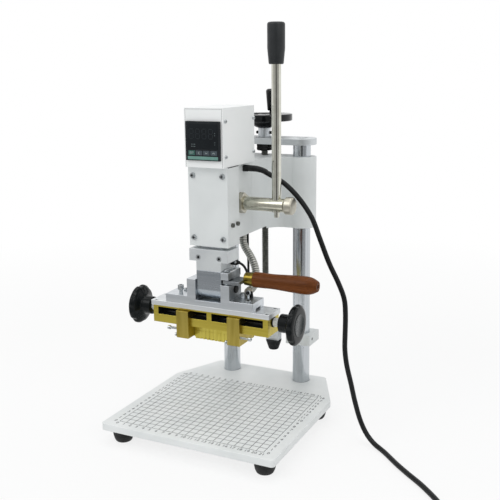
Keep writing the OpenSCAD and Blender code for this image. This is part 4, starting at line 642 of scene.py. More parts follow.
# the sensor's lead: thin vinyl from the arm down, round, and up to the ram block
sensorLead = {
    "diameter": 3.2, "smooth": 10, "step": 2.0,
    "route": [(17.5, 20, 266), (17.5, 20, 261), (17.5, 20, 246), (18, 20, 231), (19, 18, 216), (22, 13, 207),
              (27, 4, 203), (32, -6, 205), (35, -15, 213), (36, -21, 224), (34, -26, 233), (29, -29.5, 237.5),
              (23, -31, 238), (18, -31, 238)],
    "bendStart": (17.5, 20, 258), "bendEnd": (34, -26, 232),
}
sensorLine = evenLine(smoothRoute(sensorLead["route"], sensorLead["smooth"]), sensorLead["step"])
sensorTube = makeTube("sensorLead", sensorLine, sensorLead["diameter"], "extrudedVinyl", "cord_jacket")
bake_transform(sensorTube)
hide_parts("sensor_lead")
print("conduit and sensor lead laid")


# CAD solids that keep their shape: a merged copy gets eased edges and its finish
dressing = {"merge": 2e-6, "flatAngle": 0.5, "edgeAngle": 40.0, "segments": 2}  # m and degrees


def dressNode(node, material, slot, ease):
    source = frame["nodes"][node]
    bm = bmesh.new()
    bm.from_mesh(source.data)
    bmesh.ops.remove_doubles(bm, verts=bm.verts, dist=dressing["merge"])
    bmesh.ops.dissolve_limit(bm, angle_limit=math.radians(dressing["flatAngle"]), verts=bm.verts, edges=bm.edges)
    piece = placePiece(bm, node.title().replace("_", ""), material, source["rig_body"], slot, recalc=False)
    if ease:
        edge = piece.modifiers.new("easedEdges", "BEVEL")
        edge.width = ease * mm
        edge.segments = dressing["segments"]
        edge.limit_method = "ANGLE"
        edge.angle_limit = math.radians(dressing["edgeAngle"])
        edge.use_clamp_overlap = False
        flat = piece.modifiers.new("flatFaces", "WEIGHTED_NORMAL")
        flat.keep_sharp = True
    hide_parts(node)
    return piece


eased = [  # node, finish, slot and how far its edges are eased
    ("base_plate", "whitePowderCoatTable", "table_paint", 0.9),
    ("crossbar", "satinAnodisedAluminium", "white_paint_on_aluminium", 0.6),
    ("carriage", "whitePowderCoat", "white_paint_on_aluminium", 0.6),
    ("ram_housing", "whitePowderCoat", "white_paint_on_aluminium", 0.5),
    ("front_cover", "whitePowderCoat", "white_paint_on_aluminium", 0.35),
    ("box_chassis", "whitePowderCoatSheet", "white_sheet_metal", 0.2),
    ("box_cover", "whitePowderCoatSheet", "white_sheet_metal", 0.3),
    ("column_collars", "whitePowderCoat", "white_paint_on_aluminium", 0.5),
    ("stop_arm", "blastedAluminium", "machined_aluminium", 0.4),
    ("ram_block", "blastedAluminium", "white_paint_on_aluminium", 0.4),
    ("tongue", "groundSteel", "machined_aluminium", 0.3),
    ("clevis", "milledAluminium", "machined_aluminium", 0.35),
    ("clamp_cap", "milledAluminium", "machined_aluminium", 0.4),
    ("handle_shank", "sawnAluminiumAndShade", "machined_aluminium", 0.4),
    ("heater_plate", "fineMilledAluminium", "machined_aluminium", 0.3),
    ("type_holder", "milledBrass", "brass", 0.3),
    ("left_jaw", "handledBrass", "brass", 0.4),
    ("right_jaw", "handledBrass", "brass", 0.4),
    ("crank_grip", "mouldedPhenolic", "black_plastic", 0.0),
    ("lever_grip", "mouldedGrip", "black_plastic", 0.0),
    ("stop_bumper", "mouldedRubber", "black_rubber", 1.2),
    ("columns", "chromedSteel", "chrome_steel", 0.0),
    ("lever_shaft", "nickelPlatedSteel", "chrome_steel", 0.4),
    ("lever_rod", "polishedNickelSteel", "chrome_steel", 0.3),
    ("shaft_cap", "blastedNickelSteel", "chrome_steel", 0.6),
    ("shaft_bush", "blastedNickelSteel", "chrome_steel", 0.4),
    ("hub_sleeve", "milledAluminium", "machined_aluminium", 0.3),
    ("ferrule", "pressedBrass", "brass", 0.3),
    ("wooden_handle", "turnedOiledHardwood", "turned_wood", 0.4),
    ("temperature_controller", "mouldedAbs", "black_plastic", 0.3),
    ("key_set", "mouldedSiliconeGreen", "key_plastic", 0.25),
    ("key_left", "mouldedSilicone", "key_plastic", 0.25),
    ("key_down", "mouldedSilicone", "key_plastic", 0.25),
    ("key_up", "mouldedSilicone", "key_plastic", 0.25),
]
dressed = {row[0]: dressNode(*row) for row in eased}

# painted shade: the faces inside the holder's windows take the near-black shade finish
holderWindow = {"x": 77.2, "low": 163.9, "high": 174.1}
# painted shade: the outer sides of the clevis's ear and of the cap on it take the darker sawn finish
shadedSide = {"left": 25.0, "right": 35.0, "low": 195.0}


def inWindow(normal, middle):
    return (abs(normal.y) < 0.5 and abs(middle.x) < holderWindow["x"] * mm
            and holderWindow["low"] * mm < middle.z < holderWindow["high"] * mm)


def onSawnSide(normal, middle):
    return (normal.x > 0.7 and shadedSide["left"] * mm < middle.x < shadedSide["right"] * mm
            and middle.z > shadedSide["low"] * mm)


def paintFaces(node, material, chosen):
    mesh = dressed[node].data
    mesh.materials.append(finish[material])
    for face in mesh.polygons:
        if chosen(face.normal, face.center):
            face.material_index = 1


paintFaces("type_holder", "oiledRecess", inWindow)
paintFaces("clevis", "sawnAluminiumAndShade", onSawnSide)
paintFaces("clamp_cap", "sawnAluminiumAndShade", onSawnSide)

# solids that stay as they are and only take a finish
# the gib screws' duller grey is partly painted shade: it stands for bright heads with shade in their sockets
asBuilt = {
    "column_screws": "blackenedSteelAndShade", "gib_screws": "greasedSteelAndShade", "block_screws": "zincPlatedSteel",
    "plate_screws": "zincPlatedSteel", "cover_screws": "zincPlatedSteel", "box_screws": "zincPlatedSteel",
    "clevis_screws": "zincPlatedSteel", "hinge_pin": "blackenedSteelAndShade", "crank_pin": "zincPlatedSteel",
    "ram": "milledAluminium",
}
for node, material in asBuilt.items():
    slots = frame["nodes"][node].data.materials
    slots.clear()
    slots.append(finish[material])
print("solids dressed:", len(eased) + len(asBuilt))

# painted shade: dark plugs inside the screws' recesses; each entry: centre of the head's top, way out, head diameter
screwRecesses = {
    "crosses": {
        "carriage": [((x, -58.66, z), "-y", 7.4) for x in (-21, 21) for z in (272.5, 352)]
        + [((side * 28.8, y, z), outward[side], 5.0)
           for side in (-1, 1) for y in (-57.5, 20.4) for z in (376.5, 419.8)],
    },
    "sockets": {
        "carriage": [((side * 31, y, 289.5), outward[side], 5.5) for side in (-1, 1) for y in (-45.4, -31.5)],
        "ram": [((x, -58.1, 247), "-y", 7.0) for x in (-15, 15)],
        "head": [((x, y, 182.7), "z", 5.5) for x in (-81, 81) for y in (-58, -32)]
        + [((-46, -52, 205.4), "z", 8.0), ((-46, -37, 196.8), "z", 8.0), ((54, -55, 196.8), "z", 8.0)]
        + [((24.05, y, 230.2), "z", 7.0) for y in (-55, -34)],
        "frame": [((x, 113, 387.0), "z", 16.0) for x in (-57.5, 57.5)]
        + [((side * 78.4, 104.6, 97.8), outward[side], 8.0) for side in (-1, 1)],
    },
    "below": 0.25, "crossSize": (0.5, 0.1, 0.12),  # crossSize: long, wide and deep as parts of the head
    "socketAcross": 0.53, "socketDeep": 0.5,  # a part of the head, and mm
}


def makeRecesses(recesses):
    long, wide, deep = recesses["crossSize"]
    for body in ("carriage", "ram", "head", "frame"):
        bm = bmesh.new()
        for kind in ("crosses", "sockets"):
            for place, axis, head in recesses[kind].get(body, []):
                top = Vector(place) + axisTurns[axis].to_3x3() @ Vector((0, 0, -recesses["below"]))
                if kind == "crosses":
                    addCross(bm, top, axis, head * long, head * wide, head * deep)
                else:
                    addSocket(bm, top, axis, head * recesses["socketAcross"], recesses["socketDeep"])
        placePiece(bm, body + "ScrewRecesses", "oiledRecess", body, "dark_steel", smoothAngle=10)


makeRecesses(screwRecesses)

# painted shade: thin dark strips in the shadow gap between the box's cover and its front and rear plates
boxSeam = {"x": 25.5, "wide": 0.2, "front": -63.4, "back": 23.6, "low": 363.4, "high": 434.5,
           "deep": 0.5, "proud": 0.03}


def makeBoxSeams(seam):
    x, low, high, half = seam["x"], seam["low"], seam["high"], seam["wide"] / 2
    lines = []
    for y0, y1 in ((seam["front"] - seam["proud"], seam["front"] + seam["deep"]),
                   (seam["back"] - seam["deep"], seam["back"] + seam["proud"])):
        lines += [((side * x - half, y0, low), (side * x + half, y1, high)) for side in (-1, 1)]
        lines.append(((-x, y0, high - half), (x, y1, high + half)))
    makeBlocks("boxSeams", lines, 0.0, "oiledRecess", "carriage", "dark_steel", smoothAngle=10)


makeBoxSeams(boxSeam)

# painted shade: a thin black strip between the box and the castings under it, standing for the box's contact shadow;
# on the arm and on the housing
boxContactShade = {"blocks": (((-20.35, -25.4, 362.0), (20.35, 22.8, 362.9)),
                        ((-28.06, -53.9, 362.2), (28.06, -24.95, 363.04))), "round": 0.2}
makeBlocks("boxContactShade", boxContactShade["blocks"], boxContactShade["round"], "mouldedRubber", "carriage", "black_rubber")

# raised lips along the clamp cap
capLips = {"blocks": (((18.7, -52.0, 230.2), (20.4, -36.0, 231.6)), ((27.7, -52.0, 230.2), (29.4, -36.0, 231.6))),
           "round": 0.35}
makeBlocks("clampCapLips", capLips["blocks"], capLips["round"], "fineMilledAluminium", "head", "machined_aluminium")
print("screw recesses and seams darkened")

# the lead screw: a rolled thread between plain ends
leadScrew = {"axis": (0, 113), "low": 164.0, "high": 416.3, "radius": 5.0, "depth": 0.9, "pitch": 3.0, "steps": 20,
             "flanks": (0.15, 0.4, 0.6, 0.85),  # where the thread rises and falls, as parts of the pitch
             "plainTop": 371.5, "plainEnds": (2.0, 1.0), "point": 3.6, "chamfer": 0.8, "overlap": 0.1, "merge": 1e-6}


def makeLeadScrew(screw):
    x, y = screw["axis"]
    core, crest, pitch = screw["radius"] - screw["depth"], screw["radius"], screw["pitch"]
    threadLow, threadHigh = screw["low"] + screw["plainEnds"][0], screw["plainTop"] - screw["plainEnds"][1]
    turns = int((threadHigh - threadLow) / pitch) - 1
    rise, top, fall, foot = screw["flanks"]
    bm = bmesh.new()
    profile = [(core, 0.0), (core, rise), (crest, top), (crest, fall), (core, foot), (core, 1.0)]
    verts = [bm.verts.new((r * mm, 0, (threadLow + h * pitch) * mm)) for r, h in profile]
    edges = [bm.edges.new(pair) for pair in zip(verts, verts[1:])]
    bmesh.ops.spin(bm, geom=verts + edges, cent=(0, 0, 0), axis=(0, 0, 1), angle=math.tau * turns,
                   dvec=(0, 0, pitch * mm / screw["steps"]), steps=screw["steps"] * turns)
    bmesh.ops.remove_doubles(bm, verts=bm.verts, dist=screw["merge"])
    bmesh.ops.holes_fill(bm, edges=[e for e in bm.edges if e.is_boundary], sides=0)
    bmesh.ops.translate(bm, vec=(x * mm, y * mm, 0), verts=bm.verts)
    long, inside, chamfer = threadHigh - screw["low"], core + screw["overlap"], screw["chamfer"]
    addSpun(bm, [(0, 0), (screw["point"], 0), (inside, chamfer), (inside, long), (0, long)],
            (x, y, screw["low"]), "z", 24)
    long = screw["high"] - threadHigh
    addSpun(bm, [(0, 0), (crest, 0), (crest, long - chamfer), (crest - chamfer, long), (0, long)],
            (x, y, threadHigh), "z", 24)
    piece = placePiece(bm, "leadScrew", "greasedSteelAndShade", "handwheel", "dark_steel", smoothAngle=40)
    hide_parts("lead_screw")


makeLeadScrew(leadScrew)

# the knurled collar under the crossbar
thrustCollar = {"centre": (0, 113, 368.6), "radius": 11.2, "height": 9.6, "bore": 5.1, "edge": (0.9, 0.8),
                "waist": 0.5, "ridges": 44, "cut": 0.55, "skin": 0.2}  # skin: points this near the outside are cut


def makeThrustCollar(collar):
    bm = bmesh.new()
    r, h, bore, (inset, rise) = collar["radius"], collar["height"], collar["bore"], collar["edge"]
    profile = [(bore, 0), (r - inset, 0), (r, rise), (r, h * 0.45), (r - collar["waist"], h * 0.5), (r, h * 0.55),
               (r, h - rise), (r - inset, h), (bore, h), (bore, 0)]
    verts = addSpun(bm, profile, collar["centre"], "z", collar["ridges"] * 2)
    middle = Vector(collar["centre"][:2]) * mm
    for v in verts:  # every second line of points goes in
        out = Vector((v.co.x, v.co.y)) - middle
        turn = math.atan2(out.y, out.x) / math.tau * collar["ridges"] * 2
        if round(turn) % 2 and out.length > (r - collar["skin"]) * mm:
            out *= 1 - collar["cut"] / r
            v.co.x, v.co.y = middle + out
    piece = placePiece(bm, "thrustCollar", "mouldedPhenolic", "handwheel", "dark_steel", smoothAngle=20)
    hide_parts("thrust_collar")


makeThrustCollar(thrustCollar)

# the handwheel: a bowl under a flat rim, with a boss for the crank and a cross pin through the sleeve below it
handwheel = {"axis": (0, 113), "low": 400.3, "bowl": ((9.0, 0.0), (12.4, 1.0), (20.5, 6.4), (22.6, 10.0)),
             "rim": (410.2, 419.8), "radius": 39.5, "inner": 24.0, "web": 414.4, "hub": (10.0, 419.0), "bore": 5.1,
             "crank": (0, 142, 422.7), "boss": (5.2, 4.0),  # boss: radius and how deep it goes into the rim
             "pin": (12.6, 2.2, 393.6), "pinEdge": 0.4, "shadeRing": (8.9, 387.62, 388.6)}


def makeHandwheel(wheel):
    x, y = wheel["axis"]
    low, high = wheel["rim"]
    r, inner, bore = wheel["radius"], wheel["inner"], wheel["bore"]
    base = wheel["low"]
    hub, hubTop = wheel["hub"]
    profile = [(bore, 0)] + list(wheel["bowl"])
    profile += [(at, z - base) for at, z in (
        (r - 1.2, low), (r - 0.3, low + 0.4), (r, low + 1.2), (r, high - 1.2), (r - 0.3, high - 0.4), (r - 1.2, high),
        (inner + 1.6, high), (inner + 0.4, high - 0.6), (inner, high - 1.8), (inner - 0.4, wheel["web"] + 1.0),
        (inner - 1.6, wheel["web"]), (hub + 1.2, wheel["web"]), (hub, wheel["web"] + 1.0), (hub, hubTop - 0.8),
        (hub - 0.8, hubTop), (bore, hubTop), (bore, base))]
    bm = bmesh.new()
    addSpun(bm, profile, (x, y, base), "z", 72)
    boss, deep = wheel["boss"]
    addSpun(bm, [(0, -deep), (boss, -deep), (boss, -0.7), (boss - 0.6, 0), (0, 0)], wheel["crank"], "z", 32)
    piece = placePiece(bm, "handwheelRim", "mouldedPhenolic", "handwheel", "black_plastic")
    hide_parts("handwheel")
    (long, thick, z), edge = wheel["pin"], wheel["pinEdge"]
    bm = bmesh.new()
    addSpun(bm, [(0, -long), (thick - edge, -long), (thick, edge - long), (thick, long - edge), (thick - edge, long),
                 (0, long)], (x, y, z), "x", 24)
    # painted shade: a thin dark ring under the sleeve stands for its contact shadow
    shadeRing, under, over = wheel["shadeRing"]
    tall = over - under
    addSpun(bm, [(bore, 0), (shadeRing, 0), (shadeRing, tall), (bore, tall), (bore, 0)], (x, y, under), "z", 48)
    placePiece(bm, "handwheelPin", "blackenedSteelAndShade", "handwheel", "dark_steel")


makeHandwheel(handwheel)

# four moulded feet, hollow below
roundFoot = {"places": [(x, y) for x in (-104, 104) for y in (-114, 58)], "hollow": (5.0, 9.0),
             "profile": ((9.2, 0.0), (10.2, 0.4), (11.2, 1.6), (12.6, 5.0), (13.7, 10.0), (14.0, 15.0), (14.0, 19.0))}


def makeFeet(foot):
    bm = bmesh.new()
    bore, deep = foot["hollow"]
    for x, y in foot["places"]:
        profile = [(0, deep), (bore, deep), (bore, 0), *foot["profile"], (0, foot["profile"][-1][1])]
        addSpun(bm, profile, (x, y, 0), "z", 40)
    piece = placePiece(bm, "mouldedFeet", "mouldedRubber", "frame", "black_rubber")
    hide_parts("feet")


makeFeet(roundFoot)

# the gland's boot: a tapered, ribbed rubber piece round the lead
glandBoot = {"centre": (20, 5, 356), "long": 34.0, "nut": 8.0, "nutLong": 8.0, "nutRound": 0.9,
             "ribs": 6, "ribRadius": (4.15, 0.09),  # ribRadius: the first, and how much less each next one has
             "droopFrom": 14.0, "droop": 0.0105}


def makeGlandBoot(boot):
    bm = bmesh.new()
    x, y, z = boot["centre"]
    half, long, nut, ribs = boot["nut"] / 2, boot["long"], boot["nutLong"], boot["ribs"]
    addBox(bm, (x, y - half, z - half), (x + nut, y + half, z + half), boot["nutRound"])
    profile = [(0, nut - 0.4), (3.9, nut - 0.4), (3.9, nut + 1.2)]
    first, less = boot["ribRadius"]
    for k in range(ribs):
        at = nut + 1.4 + k * (long - nut - 2) / ribs
        swell = first - k * less
        profile += [(swell, at), (swell - 0.06, at + 2.8), (swell - 0.3, at + 3.0), (swell - 0.3, at + 3.7)]
    profile += [(3.5, long - 0.4), (3.3, long), (0, long)]
    verts = addSpun(bm, profile, boot["centre"], "x", 24)
    for v in verts:  # the boot droops with the lead
        over = max(0.0, v.co.x / mm - x - boot["droopFrom"])
        v.co.z -= boot["droop"] * over * over * mm
    piece = placePiece(bm, "glandBoot", "mouldedRubber", "carriage", "black_plastic")
    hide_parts("mains_gland")


makeGlandBoot(glandBoot)
print("lead screw, collar, handwheel, feet and boot turned")

# the table's printed scale: lines every centimetre, numbers round the edge
tableScale = {"left": -105.0, "front": -120.0, "columns": 21, "rows": 18, "cell": 10.0, "line": 0.7, "top": 29.0,
              "sunk": 0.05, "lift": 0.04, "numberSize": 7.4, "numberThick": 0.08, "numberGap": 5.4, "sideGap": 6.4}


def textInto(bm, words, size, place, thick=0.0):
    font = bpy.data.curves.new("words", "FONT")
    font.body = words
    font.size = size * mm
    font.align_x = "CENTER"
    font.align_y = "CENTER"
    font.resolution_u = 2
    font.extrude = thick / 2 * mm
    holder = bpy.data.objects.new("words", font)
    scene.collection.objects.link(holder)
    mesh = bpy.data.meshes.new_from_object(holder.evaluated_get(bpy.context.evaluated_depsgraph_get()))
    bpy.data.objects.remove(holder)
    bpy.data.curves.remove(font)
    mesh.transform(place)
    bm.from_mesh(mesh)
    bpy.data.meshes.remove(mesh)


def makeTableScale(scale):
    left, front, cell, half = scale["left"], scale["front"], scale["cell"], scale["line"] / 2
    right, rear = left + scale["columns"] * cell, front + scale["rows"] * cell
    low, high = scale["top"] - scale["sunk"], scale["top"] + scale["lift"]
    columns = [left + k * cell for k in range(scale["columns"] + 1)]
    rows = [front + k * cell for k in range(scale["rows"] + 1)]
    lines = [((x - half, front, low), (x + half, rear, high)) for x in columns]
    lines += [((left, y - half, low), (right, y + half, high)) for y in rows]
    makeBlocks("tableGrid", lines, 0.0, "printedBlackInk", "frame", "table_paint", smoothAngle=10)
    marks = [(str(k), x, y) for k, x in enumerate(columns)
             for y in (front - scale["numberGap"], rear + scale["numberGap"])]
    marks += [(str(k), x, y) for k, y in enumerate(rows) for x in (left - scale["sideGap"], right + scale["sideGap"])]
    bm = bmesh.new()
    for words, x, y in marks:
        place = Matrix.Translation((x * mm, y * mm, high * mm))
        textInto(bm, words, scale["numberSize"], place, thick=scale["numberThick"])
    placePiece(bm, "tableNumbers", "printedBlackInk", "frame", "table_paint", smoothAngle=10, recalc=False)


makeTableScale(tableScale)
print("table scale printed")

# the controller's window, unlit digits, small marks and strip
controllerFace = {"front": -66.6, "window": ((-21.2, 386.2), (21.2, 417.2)), "strip": ((-21.2, 373.2), (21.2, 377.2)),
                  "digits": (4, -15.4, 404.8, 9.0), "digitSize": (5.6, 11.8, 1.1), "digitGap": 0.1,
                  "marks": ((-14.6, 392.0, 2.4), (-11.2, 392.0, 2.4), (-14.8, 389.4, 2.0), (-11.4, 389.4, 2.6),
                            (17.4, 405.6, 1.2), (17.4, 403.0, 1.2), (17.4, 394.6, 1.0), (17.4, 392.0, 1.0)),
                  "markHigh": 1.0}


def digitSegments(x, z, y, size, gap):
    wide, high, thick = size
    w, h, t = wide / 2, high / 2, thick / 2
    bars = [((-w + t, level - t), (w - t, level + t)) for level in (h, 0, -h)]
    for low, top in ((t + gap, h - t - gap), (-h + t + gap, -t - gap)):
        bars += [((-w - t, low), (-w + t, top)), ((w - t, low), (w + t, top))]
    return [((x + x0, y - 0.06, z + z0), (x + x1, y + 0.1, z + z1)) for (x0, z0), (x1, z1) in bars]


def makeControllerFace(face):
    y, look = face["front"], ("carriage", "black_plastic")
    (x0, z0), (x1, z1) = face["window"]
    makeBlocks("displayWindow", [((x0, y - 0.35, z0), (x1, y + 0.2, z1))], 0.2, "smokedAcrylic", *look)
    count, first, z, step = face["digits"]
    digits = [digitSegments(first + k * step, z, y - 0.36, face["digitSize"], face["digitGap"]) for k in range(count)]
    makeBlocks("unlitDigits", sum(digits, []), 0.0, "unlitSegment", *look, smoothAngle=10)
    half = face["markHigh"] / 2
    marks = [((x - wide / 2, y - 0.42, z - half), (x + wide / 2, y - 0.3, z + half)) for x, z, wide in face["marks"]]
    makeBlocks("windowMarks", marks, 0.0, "printedGreyInk", *look, smoothAngle=10)
    (x0, z0), (x1, z1) = face["strip"]
    makeBlocks("controllerStrip", [((x0, y - 0.12, z0), (x1, y + 0.2, z1))], 0.06, "printedTeal", *look)


makeControllerFace(controllerFace)

# key marks: the set key's word and three arrow heads
keyMarks = {"y": -67.13, "z": 381.5, "thick": 0.06, "word": "SET", "wordX": -15.45, "wordSize": 3.6,
            "bar": (2.2, 0.55), "barTurn": 38, "barOut": 0.8,
            "arrows": (("left", -5.15, 90), ("down", 5.15, 180), ("up", 15.45, 0))}


def makeKeyMarks(marks):
    y, z, thick = marks["y"], marks["z"], marks["thick"]
    place = Matrix.Translation((marks["wordX"] * mm, y * mm, z * mm)) @ Matrix.Rotation(math.pi / 2, 4, "X")
    bm = bmesh.new()
    textInto(bm, marks["word"], marks["wordSize"], place, thick=thick)
    placePiece(bm, "setKeyMark", "printedPaleInk", "set_key", "key_plastic", smoothAngle=10, recalc=False)
    long, wide = marks["bar"]
    for name, x, turn in marks["arrows"]:
        bm = bmesh.new()
        for side in (-1, 1):
            bar = bmesh.ops.create_cube(bm, size=1.0)["verts"]
            slope = Matrix.Rotation(math.radians(side * marks["barTurn"]), 3, "Y")
            bmesh.ops.scale(bm, vec=(long * mm, thick * mm, wide * mm), verts=bar)
            bmesh.ops.rotate(bm, cent=(0, 0, 0), matrix=slope, verts=bar)
            bmesh.ops.translate(bm, vec=(side * marks["barOut"] * mm, 0, 0), verts=bar)
        place = Matrix.Translation((x * mm, y * mm, z * mm)) @ Matrix.Rotation(math.radians(-turn), 4, "Y")
        bmesh.ops.transform(bm, matrix=place, verts=bm.verts)
        placePiece(bm, name + "KeyMark", "printedPaleInk", name + "_key", "key_plastic", smoothAngle=10)


makeKeyMarks(keyMarks)
print("controller face printed")

# the jaws' knobs: a hub and a fluted head with soft edges, and a grey insert with a shallow step in its face
jawKnob = {"inner": 94.4, "y": -44.25, "z": 169.0, "lobes": 8, "lobeSteps": 16, "radius": 26.25, "flute": (8.0, 2.2),
           "hub": 14.0, "soft": 2.4, "level": 20.0,  # level: about the flutes' reach, keeps the powers small
           "profile": ((0, 0), (10.6, 0), (11.7, 0.5), (12.0, 1.3), (12.0, 10.6), (12.6, 12.0), (14.4, 13.3),
                       (18.0, 14.7), (21.8, 16.0), (24.4, 17.4), (25.8, 19.1), (26.25, 20.9), (26.1, 22.4),
                       (25.4, 23.7), (24.0, 24.7), (22.0, 25.3), (19.5, 25.5), (14.8, 25.5), (14.6, 25.2), (0, 25.2))}
knobInsert = {"face": 119.9, "y": -44.25, "z": 169.0, "radius": 14.6}


def makeKnobs(knob):
    cut, deep = knob["flute"]
    soft, level = knob["soft"], knob["level"]
    away = knob["radius"] + cut - deep
    share = math.tau / knob["lobes"]
    for name, side in (("left", -1), ("right", 1)):
        bm = bmesh.new()
        centre = Vector((side * knob["inner"], knob["y"], knob["z"]))
        for v in addSpun(bm, knob["profile"], centre, outward[side], knob["lobes"] * knob["lobeSteps"]):
            out = Vector((v.co.y, v.co.z)) / mm - Vector(centre[1:])
            turn = (math.atan2(out.y, out.x) + share / 2) % share - share / 2
            if out.length > knob["hub"] and abs(away * math.sin(turn)) < cut:  # pressed in to the flute, softly
                edge = away * math.cos(turn) - math.sqrt(cut ** 2 - (away * math.sin(turn)) ** 2)
                near = math.exp(-soft * (out.length - level)) + math.exp(-soft * (edge - level))
                v.co.y, v.co.z = (Vector(centre[1:]) + out * ((level - math.log(near) / soft) / out.length)) * mm
        piece = placePiece(bm, name + "KnobHead", "handledPhenolic", name + "_knob", "black_plastic", smoothAngle=40)
        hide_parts(name + "_knob")


makeKnobs(jawKnob)


def makeKnobInserts(insert):
    r = insert["radius"]
    profile = [(0, 0.25), (r - 1.6, 0.35), (r - 1.2, 0.6), (r - 0.3, 0.6), (r, 0.2), (r, -0.4), (0, -0.4)]
    for name, side in (("left", -1), ("right", 1)):
        bm = bmesh.new()
        addSpun(bm, profile, (side * insert["face"], insert["y"], insert["z"]), outward[side], 48)
        placePiece(bm, name + "KnobInsert", "mouldedGreyInsert", name + "_knob", "black_plastic")


makeKnobInserts(knobInsert)

# the jaws' spindles: a thread inside the holder, near black as painted shade for the holder's dark windows, a black
# ring at its end and a white sleeve outside
jawSpindle = {"y": -44.25, "z": 169.0, "inner": 1.2, "thread": 3.9, "ring": 84.8, "neck": 85.8, "end": 105.9,
              "journalRadius": 3.0, "threadRadius": 4.0, "pitch": 1.5, "depth": 0.5,
              "ringRadius": 6.8, "ringEdge": 0.4, "neckRadius": 5.8}


def makeSpindles(spindle):
    crest, root = spindle["threadRadius"], spindle["threadRadius"] - spindle["depth"]
    for side, axis in (("left", "-x"), ("right", "x")):
        node = side + "_spindle"
        body = frame["nodes"][node]["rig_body"]
        centre = (0, spindle["y"], spindle["z"])
        profile = [(0, spindle["inner"]), (spindle["journalRadius"], spindle["inner"]),
                   (spindle["journalRadius"], spindle["thread"]), (root, spindle["thread"])]
        for k in range(int((spindle["ring"] - spindle["thread"]) / spindle["pitch"]) - 1):
            at = spindle["thread"] + k * spindle["pitch"]
            profile += [(root, at + 0.2), (crest, at + 0.6), (crest, at + 0.9), (root, at + 1.3)]
        bm = bmesh.new()
        addSpun(bm, profile + [(root, spindle["ring"]), (0, spindle["ring"])], centre, axis, 18)
        piece = placePiece(bm, side + "SpindleThread", "blackenedSteelAndShade", body, "dark_steel")
        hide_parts(node)
        bm = bmesh.new()
        r, edge, low, high = spindle["ringRadius"], spindle["ringEdge"], spindle["ring"], spindle["neck"]
        addSpun(bm, [(0, low), (r - edge, low), (r, low + edge), (r, high - edge), (r - edge, high), (0, high)],
                centre, axis, 40)
        placePiece(bm, side + "SpindleRing", "blackenedSteelAndShade", body, "dark_steel")
        bm = bmesh.new()
        r, low, high = spindle["neckRadius"], spindle["neck"], spindle["end"]
        addSpun(bm, [(0, low - 0.2), (r, low - 0.2), (r, low + 2.6), (r - 0.35, low + 2.9), (r - 0.35, low + 3.3),
                     (r, low + 3.6), (r, high), (0, high)], centre, axis, 40)
        placePiece(bm, side + "SpindleNeck", "turnedNylon", body, "white_ceramic")


makeSpindles(jawSpindle)

# the brass sorts between the jaws: a shank with a set-in shoulder, and a figure at the bottom
typeSorts = {"count": 10, "width": 5.66, "gap": 0.1, "depth": 12.0, "y": -44.25, "top": 153.0, "shoulder": 145.0,
             "face": 135.8, "bottom": 132.0, "setIn": 0.3, "beard": (1.3, 0.6, 2.4), "figure": 6.4}


def makeSorts(sorts):
    bm = bmesh.new()
    mirrored = Matrix.Rotation(math.pi / 2, 4, "Z") @ Matrix.Scale(-1, 4, (1, 0, 0))
    faceDown = Matrix.Rotation(math.pi, 4, "X") @ mirrored
    half, deep, inset = (sorts["width"] - sorts["gap"]) / 2, sorts["depth"] / 2, sorts["setIn"]
    near, far, shoulder, face = sorts["y"] - deep, sorts["y"] + deep, sorts["shoulder"], sorts["face"]
    beardX, beardY, beardZ = sorts["beard"]
    high = face - sorts["bottom"]
    for k in range(sorts["count"]):
        x = (k + 0.5 - sorts["count"] / 2) * sorts["width"]
        left, right = x - half, x + half
        addBox(bm, (left, near + inset, shoulder - 0.2), (right, far - inset, sorts["top"]), 0.12)
        addBox(bm, (left, near, face), (right, far, shoulder), 0.2)
        addBox(bm, (left + beardX, near + beardY, face - beardZ), (right - beardX, far - beardY, face + 0.2), 0.3)
        place = Matrix.Translation((x * mm, sorts["y"] * mm, (sorts["bottom"] + high / 2) * mm)) @ faceDown
        textInto(bm, str(k), sorts["figure"], place, thick=high)
    bmesh.ops.remove_doubles(bm, verts=bm.verts, dist=weld)
    body = frame["nodes"]["type_letters"]["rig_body"]
    piece = placePiece(bm, "typeSorts", "engravedBrass", body, "brass", smoothAngle=20)
    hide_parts("type_letters")


makeSorts(typeSorts)
print("knobs, spindles and sorts made")

# the jaws' clamp screws along X and their small set screws
jawScrews = {"x": 46.5, "y": -62.0, "z": 148.0, "out": 15.0, "head": 2.7, "shank": 1.7, "threads": 9, "pitch": 1.1,
             "setX": {"left": -46.5, "right": 28.5}, "setY": -63.0, "setZ": 140.0}


def makeJawScrews(screws):
    out, head, shank, pitch = screws["out"], screws["head"], screws["shank"], screws["pitch"]
    profile = [(0, -0.3), (shank, -0.3)]
    for k in range(screws["threads"]):
        profile += [(shank, k * pitch), (shank - 0.3, k * pitch + pitch / 2)]
    profile += [(shank, out - 4.0), (head, out - 3.8), (head, out - 0.5), (head - 0.5, out), (1.2, out),
                (1.2, out - 1.6), (0, out - 1.6)]
    setProfile = [(0, -0.3), (1.5, -0.3), (1.5, 1.2), (2.3, 1.3), (2.3, 2.9), (1.9, 3.3), (0.9, 3.3), (0.9, 2.2),
                  (0, 2.2)]
    for name, side in (("left", -1), ("right", 1)):
        bm = bmesh.new()
        addSpun(bm, profile, (side * screws["x"], screws["y"], screws["z"]), outward[side], 20)
        addSpun(bm, setProfile, (screws["setX"][name], screws["setY"], screws["setZ"]), "-x", 20)
        placePiece(bm, name + "JawScrews", "zincPlatedSteel", name + "_jaw", "bright_steel")


makeJawScrews(jawScrews)

# the sensor's clip on the ram block's neck: a black block with a boss for the lead and a bright rivet
sensorClip = {"low": (18.0, -32.8, 234.4), "high": (27.4, -28.4, 241.8), "boss": (27.2, -30.4, 238.0),
              "rivet": (25.2, -32.8, 238.4)}


